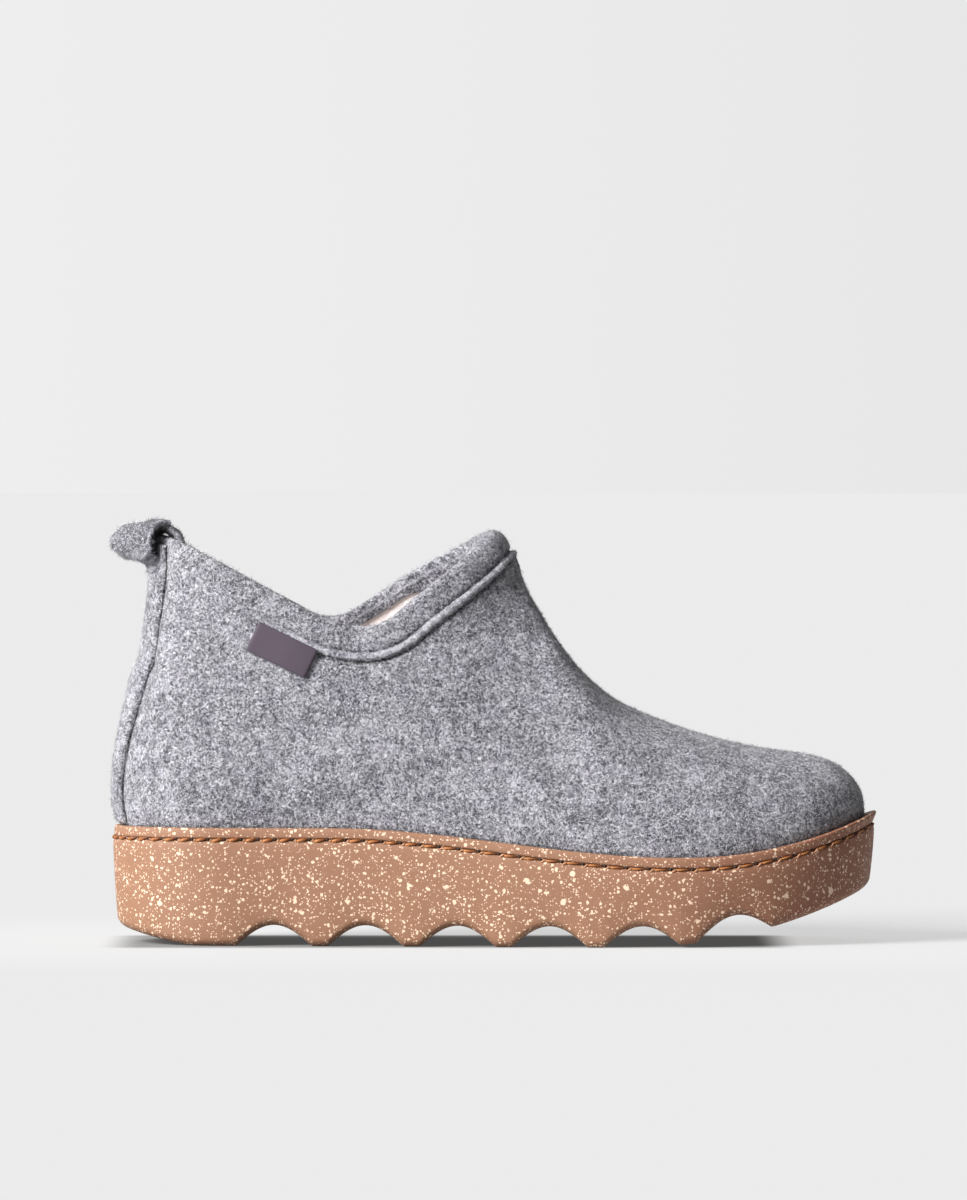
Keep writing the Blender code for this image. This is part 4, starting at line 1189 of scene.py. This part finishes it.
def make_pull_loop():
    """A flat oval carried along the path, cupped to the collar and turned about the heel's upright. One face
    of it is darkened by painted shade.
    """
    path, back = loop_path(150)
    run = unit(np.gradient(path[:, :2], axis=0))
    turn = np.linspace(0, 2 * math.pi, 49)
    across = TAPE_WIDTH / 2 * np.sign(np.cos(turn)) * np.abs(np.cos(turn)) ** 0.45
    lift = TAPE_THICKNESS / 2 * np.sign(np.sin(turn)) * np.abs(np.sin(turn)) ** 0.62
    across[-1], lift[-1] = across[0], lift[0]
    beside = collar_rim(COLLAR_ROWS[1:2, WAY], MEDIAL)[0]
    bend = beside[1] ** 2 / (2 * (beside[0] - back))
    x = path[:, :1] - lift * run[:, 1:]
    z = path[:, 1:2] + lift * run[:, :1]
    y = across + 0 * x
    bend = np.where(path[:, :1] > back, bend - WALL, bend + TAPE_THICKNESS)
    x = x + path[:, 2:] * y**2 / (2 * bend)
    rim_top = collar_rim(np.array([0.0]), LATERAL)[0, 2]
    z = pressed_down(back - x, y, z, rim_top)
    angle = LOOP_TURN * smoothstep(*LOOP_TURNS, back - x) * smoothstep(LOOP_BASE, rim_top - 0.004, z)
    away, cos, sin = x - back, np.cos(angle), np.sin(angle)
    turned = np.stack([back + away * cos - y * sin, y * cos + away * sin, z], -1)
    turned = turned + 0.00018 * ripple(turned, 0.007, 15)[..., None] * np.array([0.0, 1.0, 1.0])
    # Painted shade on one face of the tape, from a little above its foot up round the loop.
    under = smoothstep(LOOP_BASE + 0.004, LOOP_BASE + 0.008, path[:, 1:2])
    turned = marked(turned, 0.9 * (smoothstep(0.2, 1.0, -np.sin(turn))[None] * under))
    turned[:, -1] = turned[:, 0]
    caps = [np.stack([turned[row, :25], turned[row, :23:-1]], 1) for row in (0, -1)]
    grids = [(turned, False), *((cap, True) for cap in caps)]
    return piece("felt_loop", grids, FELT_TAPE_PAINTED_LIGHT, ["pull_loop"], marks=FELT_MARKS)


felt_loop = make_pull_loop()

# %% [markdown]
# ## Woven tab
#
# A small tab of damask weave is sewn in under the collar's seam. Its weave is far finer than the picture
# shows, so two crossed waves in the bump are enough, turned to run along the tab.

# %% Tab finish and piece
LABEL_WIDTH = 0.0223
LABEL_HEIGHT = 0.0107
LABEL_THICKNESS = 0.0011
LABEL_PLACE = 0.2315
LABEL_DROP = -0.001
LABEL_SLOPE = math.radians(25.4)
FLAT = [0, 2]


def woven_tab():
    """Warp and weft as two crossed sine waves along the tab, and a slightly worn, dusty colour."""
    finish = Finish("woven_tab_finish", Specular_IOR_Level=0.3, Sheen_Weight=0.15)
    turned = finish.node("Mapping", {"Vector": finish.place, "Rotation": (0.0, -LABEL_SLOPE, 0.0)})
    sockets = {"Vector": turned, "Scale": 620.0, "Distortion": 0.0}
    warp = finish.node("TexWave", sockets, bands_direction="X", output="Fac")
    weft = finish.node("TexWave", sockets, bands_direction="Z", output="Fac")
    dust = finish.noise(500, detail=3)
    tone = warp * 0.3 + weft * 0.3 + dust * 0.4
    colour = finish.mix(tone, (0.032, 0.022, 0.035), (0.068, 0.050, 0.068))
    return finish.done(colour, warp * 0.5 + weft * 0.5, 0.0001, 0.7 + dust * 0.15)


def quadratic(places):
    """Terms of a curved surface over flat places: 1, u, v, u^2, uv and v^2."""
    u, v = places[:, 0], places[:, 1]
    return np.stack([np.ones_like(u), u, v, u**2, u * v, v**2], -1)


def make_tab():
    """A rectangle laid on a quadratic fit to the felt around it, thinner towards its edges."""
    rim, _, band_down, wall_down = collar_frame(np.linspace(0.2, 1, 200), LATERAL)
    seam = rim + BAND_HEIGHT * band_down
    at = np.argmin(np.abs(seam[:, 0] - LABEL_PLACE * SOLE_LENGTH))
    corner = (seam[at] + LABEL_DROP * wall_down[at])[FLAT]
    along = np.array([math.cos(LABEL_SLOPE), -math.sin(LABEL_SLOPE)])
    down = np.array([along[1], -along[0]])
    near = np.linspace(0.1, 0.55, 40)
    wall = wall_grid(near, LATERAL, np.linspace(0.3, 1.0, 40))
    band = band_grid(near / FRONT, LATERAL, BAND[::4])
    felt_near = np.concatenate([wall.reshape(-1, 3), band.reshape(-1, 3)])
    middle = corner + down * LABEL_HEIGHT / 2
    felt_near = felt_near[np.linalg.norm(felt_near[:, FLAT] - middle, axis=1) < LABEL_WIDTH]
    fit = np.linalg.lstsq(quadratic(felt_near[:, FLAT] - middle), felt_near[:, 1], rcond=None)[0]
    across, drop = np.meshgrid(np.linspace(-1, 1, 61), np.linspace(0, 1, 31), indexing="ij")
    round_off = 1 - 0.012 * np.abs(across) ** 8 * (2 * drop - 1) ** 8
    place = (LABEL_WIDTH / 2 * across * round_off)[..., None] * along
    place = place + (LABEL_HEIGHT * drop)[..., None] * down + corner
    y = (quadratic((place - middle).reshape(-1, 2)) @ fit).reshape(across.shape)
    lifted = 2 * CLEAR + 0.0005 * drop**3 + 0.00015 * np.sin(3.2 * across + 0.6)
    inner = np.stack([place[..., 0], y - lifted, place[..., 1]], -1)
    outer = inner.copy()
    outer[..., 1] -= LABEL_THICKNESS * (0.25 + 0.75 * blunt(across, 24) * blunt(2 * drop - 1, 18))
    piece("bare_tab", slab(inner, outer), woven_tab(), ["label"])


make_tab()

# %% [markdown]
# ## Welt stitches
#
# A waxed thread runs through the groove under the lip and holds the felt in the cup. Each stitch is a
# short twisted rod that dives into the sole at both ends. A two-lobed section, turned as it goes, gives the
# plies. The stitches are shorter round the heel than along the forefoot.

# %% Stitches piece
HEEL_STITCH = 0.0056
TOE_STITCH = 0.0074
STITCH_STEP = 0.0005
THREAD_RADIUS = 0.00060
THREAD_TWIST = 0.0021
GROOVE_INSET, GROOVE_DROP = 0.0006, -0.0040


def groove_path():
    """The groove's line round the sole, from the heel's back along the lateral side to the toe and back."""
    station = spread_stations(900)
    halves = [ring_half(station, side, GROOVE_INSET, 1.0, GROOVE_DROP) for side in SIDES]
    normals = [np.column_stack([outline(station, side, 0.0)[1], 0 * station]) for side in SIDES]
    return (np.concatenate([there, back[-2::-1]]) for there, back in (halves, normals))


def stitch_ends(path, length):
    """Where stitches meet: steps that grow from HEEL_STITCH to TOE_STITCH, evened out to close the ring."""
    share = np.interp(np.arange(0, length[-1], STITCH_STEP), length, path[:, 0]) / SOLE_LENGTH
    pitch = HEEL_STITCH + (TOE_STITCH - HEEL_STITCH) * smoothstep(0.1, 0.7, share)
    count = np.concatenate([[0], np.cumsum(STITCH_STEP / pitch)])
    total = round(count[-1])
    return np.interp(np.arange(total + 1), count * total / count[-1], STITCH_STEP * np.arange(len(count)))


def rods(centre, normal, radius, end, lobes=0.0, phase=0.0):
    """Closed tubes along many centre lines at once, of varied radius, with the end mark along them."""
    forward = unit(np.gradient(centre, axis=1))
    side = np.cross(normal, forward)
    turn = np.linspace(0, 2 * math.pi, 9)
    size = radius[..., None] * (1 + lobes * np.cos(2 * (turn - phase)))
    ring = np.cos(turn)[:, None] * normal[:, :, None] + np.sin(turn)[:, None] * side[:, :, None]
    tubes = centre[:, :, None] + size[..., None] * ring
    tubes[:, :, -1] = tubes[:, :, 0]
    marks = np.broadcast_to(end[..., None, None], (*tubes.shape[:3], 1))
    return [(tube, False) for tube in np.concatenate([tubes, marks], -1)]


def make_stitches():
    """Every stitch, the hook of thread at its start and the dark hole at its end, a rod of painted shade,
    each set on one grid.
    """
    path, outward = groove_path()
    length = arc_length(path)
    ends = stitch_ends(path, length)
    rng = np.random.default_rng(31)
    count = len(ends) - 1

    def along(places):
        """The groove's points, outward and upward directions at lengths along it."""
        centre, normal = (
            np.stack([np.interp(places, length, of[:, k]) for k in range(3)], -1) for of in (path, outward)
        )
        normal = unit(normal)
        up = np.cross(normal, unit(np.gradient(centre, axis=1)))
        return centre, normal, up * np.sign(up[..., 2:])

    t = np.linspace(0, 1, 17)
    pitch = (ends[1:] - ends[:-1])[:, None]
    centre, normal, up = along(ends[:-1, None] + pitch * (0.05 + 0.83 * t))
    lateral = normal[:, :1, 1] < 0
    way = np.where(lateral, t, 1 - t)
    heel_side = 1 - smoothstep(0.20, 0.60, centre[:, :1, 0] / SOLE_LENGTH)
    belly = np.sin(math.pi * np.clip(way, 0.0, 1.0) ** 0.75)
    slant = (0.0003 + 0.0007 * heel_side) * (way - 0.5) + rng.normal(0, 0.00006, (count, 1))
    centre = centre + (0.0011 * belly**0.6 - 0.0007)[..., None] * normal + slant[..., None] * up
    radius = THREAD_RADIUS * (0.68 + 0.32 * heel_side) * (0.25 + 0.75 * belly**0.7)
    phase = 2 * math.pi * (ends[:-1, None] + pitch * t)[..., None] / THREAD_TWIST
    # The end mark darkens each stitch towards the hole that it dives into: painted shade.
    grids = rods(centre, normal, radius, 0.12 + 0.72 * way**1.1, 0.14, phase)

    t = np.linspace(0, 1, 9)
    start = np.where(lateral[:, 0], ends[:-1], ends[1:])[:, None]
    toward = np.where(lateral, 1.0, -1.0)
    reach = 0.0021 * (0.55 + 0.45 * (1 - heel_side)) * rng.uniform(0.8, 1.15, (count, 1))
    centre, normal, up = along(start + toward * (reach * (t - 0.45) + 0.0002))
    rise = 0.0016 * (1 - 0.6 * heel_side) * (np.sin(math.pi / 2 * t) - 0.9) + 0.0001
    centre = centre + (0.0001 + 0.0005 * np.sin(math.pi * t))[None, :, None] * normal + rise[..., None] * up
    radius = 0.00023 * (0.5 + 0.5 * np.sin(math.pi * np.clip(t, 0.03, 0.97)))[None] * np.ones((count, 1))
    grids += rods(centre, normal, radius, 0.0 * radius)

    t = np.linspace(0, 1, 7)
    centre, normal, up = along(start - toward * (0.0003 + 0.0011 * (1 - t)))
    radius = 0.00055 * np.sin(math.pi * np.clip(t, 0.04, 0.96))[None] ** 0.6 * np.ones((count, 1))
    centre = centre - 0.00030 * normal + 0.0001 * up
    # A near-black rod of painted shade stands in the hole behind each stitch.
    grids += rods(centre, normal, radius, 0.0 * radius + 1.2)
    return grids


piece("welt_stitches", make_stitches(), THREAD, closed=False, marks=("end",))

# %% [markdown]
# ## Loose fibres
#
# What makes felt look soft is its edge: against the light, single fibres stand off the surface. Each fibre
# here is a ribbon of two quads that leaves the felt at a low angle and curls. Thousands of them, spread by
# area over the faces of a piece, blur its outline and break up its shading. Each carries its own grey.


# %% Fibre finish
def fibre_finish(name, dark, light):
    """A matt strand whose grey is stored on its own points."""
    finish = Finish(name, Roughness=0.85, Specular_IOR_Level=0.2)
    return finish.done(finish.mix(finish.mark("shade"), dark, light))


FIBRE = fibre_finish("felt_fibre_finish", (0.025, 0.025, 0.032), (0.62, 0.62, 0.66))
LINT = fibre_finish("fleece_fibre_finish", (0.58, 0.50, 0.48), (0.84, 0.76, 0.74))


def spots_on(source, count, seed, wanted=None):
    """Random places on a piece's faces, spread by area, with the normal at each."""
    mesh = source.data
    mesh.calc_loop_triangles()
    points = np.empty(3 * len(mesh.vertices), np.float32)
    mesh.vertices.foreach_get("co", points)
    points = points.reshape(-1, 3) - SHIFT
    triangles = np.empty(3 * len(mesh.loop_triangles), np.int32)
    mesh.loop_triangles.foreach_get("vertices", triangles)
    triangles = triangles.reshape(-1, 3)
    a, b, c = (points[triangles[:, k]] for k in range(3))
    normal = np.cross(b - a, c - a)
    area = np.linalg.norm(normal, axis=1)
    if wanted is not None:
        area = area * wanted((a + b + c) / 3, unit(normal))
    rng = np.random.default_rng(seed)
    chosen = rng.choice(len(area), count, p=area / area.sum())
    u, v = rng.random((2, count, 1))
    u, v = np.where(u + v > 1, 1 - u, u), np.where(u + v > 1, 1 - v, v)
    return a[chosen] + u * (b - a)[chosen] + v * (c - a)[chosen], unit(normal[chosen]), rng


def make_fibres(name, source, count, seed, finish, slot, reach=(0.0010, 0.0026), width=9e-5, wanted=None):
    """Ribbons of two quads: root, bend and tip, each a step along the surface and a little off it."""
    root, normal, rng = spots_on(source, count, seed, wanted)
    side = unit(np.cross(normal, rng.normal(size=(count, 3))))
    angle = rng.uniform(-1.3, 1.3, (count, 1))
    bent = side * np.cos(angle) + np.cross(normal, side) * np.sin(angle)
    length = rng.uniform(*reach, (count, 1))
    lean = rng.beta(1.2, 4.0, (count, 1)) * 0.9 + 0.03
    bend = root + length * 0.5 * unit(side + lean * normal)
    tip = bend + length * 0.5 * unit(bent + lean * 0.6 * normal)
    root = root - 0.00005 * normal
    flat = np.cross(normal, side) * width / 2
    steps = ((root, 1.0), (bend, 0.9), (tip, 0.3))
    points = np.stack([at + way * wide * flat for at, wide in steps for way in (-1, 1)], 1)
    base = 6 * np.arange(count)[:, None]
    quads = np.concatenate([base + (0, 2, 3, 1), base + (2, 4, 5, 3)])
    mesh = new_mesh(name, points.reshape(-1, 3), quads.ravel(), np.full(len(quads), 4))
    rider(mesh, {"shade": np.repeat(rng.beta(0.7, 0.9, count), 6)}, finish)


def outside(middle, normal):
    """Only faces that look away from the shoe's middle line, and lie above the lip."""
    away = normal[:, 1] * np.sign(middle[:, 1]) + 0.5 * normal[:, 2] + 0.3 * np.abs(normal[:, 0])
    return ((away > 0) & (middle[:, 2] > lip_height(middle[:, 0]) - 0.0003)).astype(float)


def inside(middle, normal):
    """Only faces that look into the shoe, in the upper half of it."""
    return ((normal[:, 1] * middle[:, 1] < 0) & (middle[:, 2] > 0.085)).astype(float)


# %% Fibre pieces
SHORT = (0.0009, 0.0020), 0.00011
LONG = (0.0016, 0.0032), 0.00009
CURL = (0.0012, 0.0026), 0.00012
make_fibres("wall_fibres_short", felt_wall, 48000, 21, FIBRE, "grey_felt", *SHORT, outside)
make_fibres("wall_fibres_long", felt_wall, 44000, 22, FIBRE, "grey_felt", *LONG, outside)
make_fibres("strip_fibres", heel_felt, 7000, 23, FIBRE, "felt_strip")
make_fibres("loop_fibres", felt_loop, 9000, 24, FIBRE, "felt_tape")
make_fibres("lining_fibres", lining, 9000, 25, LINT, "fleece", *CURL, inside)

# %% [markdown]
# ## Stage, light and camera
#
# The slipper stands on a pale sheet under soft light. An even, bright surround fills the shadows, one large
# lamp above and behind the left shoulder shapes the felt, and the floor is partly self-lit so that it
# melts into the background. The camera stands far back with a long lens, almost level with the shoe.


# %% Floor
FLOOR_SIZE = 60.0
FLOOR_PAINT = 0.17
FLOOR_GLOW = 0.515
# Painted light on the floor: a brighter glow round the sole and a painted shadow under its footprint, laid
# out by these sizes.
FLOOR_PAINTED_GLOW = 0.56
FLOOR_PAINTED_SHADOW = 0.07
FOOTPRINT = (0.104, 0.034)
FOOTPRINT_SHIFT = 0.014


def make_floor():
    """A wide flat sheet, part paint and part glow. The glow is brighter near the sole, a painted pool of
    light, and dim under it, a painted shadow.
    """
    mesh = bpy.data.meshes.new("studio_floor")
    corners = [(x * FLOOR_SIZE, y * FLOOR_SIZE, 0) for x, y in ((-1, -1), (1, -1), (1, 1), (-1, 1))]
    mesh.from_pydata(corners, [], [(0, 1, 2, 3)])
    finish = Finish("studio_floor_finish", Roughness=1.0, Specular_IOR_Level=0.0, Emission_Strength=1.0)
    along, back = (finish.node("SeparateXYZ", {0: finish.place}, output=axis) for axis in "XY")
    across = [abs(along + FOOTPRINT_SHIFT), abs(back)]
    beyond = [side.math("MAXIMUM", side - half, 0.0) for side, half in zip(across, FOOTPRINT)]
    distance = beyond[0].math("SQRT", beyond[0] * beyond[0] + beyond[1] * beyond[1])
    # Painted shadow under the footprint, fading into a painted pool of light round it, then into the even
    # glow further off.
    under = finish.mix(distance.step(0.0, 0.016), (FLOOR_PAINTED_SHADOW,) * 3, (FLOOR_PAINTED_GLOW,) * 3)
    glow = finish.mix(distance.step(0.03, 0.20), under, (FLOOR_GLOW,) * 3)
    finish.feed(finish.shader.inputs["Emission Color"], glow)
    mesh.materials.append(finish.done((*(FLOOR_PAINT,) * 3, 1.0)))
    in_scene("studio_floor", mesh)


make_floor()


# %% Surround and key lamp
BACKGROUND = 0.831
SURROUND = 0.52
SURROUND_FADE = 0.50
SURROUND_LEAST = 0.12
world = bpy.data.worlds.new("studio")
bpy.context.scene.world = world
world.use_nodes = True
surround = Nodes(world.node_tree, "Generated")
ahead, away = (surround.node("SeparateXYZ", {0: surround.place}, output=axis) for axis in "XY")
strength = SURROUND - ahead * SURROUND_FADE + away * (BACKGROUND - SURROUND)
strength = strength.math("MAXIMUM", strength, SURROUND_LEAST)
background = world.node_tree.nodes["Background"]
background.inputs["Color"].default_value = (1.0, 1.0, 1.0, 1.0)
surround.feed(background.inputs["Strength"], strength)

KEY_FROM = (-0.70, -0.52, 0.49)
key = bpy.data.lights.new("key_lamp", "SUN")
key.energy = 8.6
key.angle = math.radians(28)
key_lamp = in_scene("key_lamp", key)
key_lamp.location = KEY_FROM
key_heading = math.atan2(KEY_FROM[1], KEY_FROM[0])
key_lamp.rotation_euler = (math.acos(KEY_FROM[2]), 0.0, key_heading + math.pi / 2)
bpy.context.scene.view_settings.view_transform = "Standard"
print("Stage, surround and key lamp are set")

# %% Camera
CAMERA_DISTANCE = 3.2
CAMERA_DIP = math.radians(0.8)
CAMERA_TARGET = (0.1264 + SHIFT[0], 0.0, 0.11665)
camera_data = bpy.data.cameras.new("camera")
camera_data.lens = 281.2
camera_data.sensor_width = 36.0
camera_data.clip_end = 200.0
camera = in_scene("camera", camera_data)
camera.location = (
    CAMERA_TARGET[0],
    -CAMERA_DISTANCE * math.cos(CAMERA_DIP),
    CAMERA_TARGET[2] + CAMERA_DISTANCE * math.sin(CAMERA_DIP),
)
camera.rotation_euler = (math.pi / 2 - CAMERA_DIP, 0.0, 0.0)
bpy.context.scene.camera = camera
print("Camera at", tuple(round(value, 3) for value in camera.location))
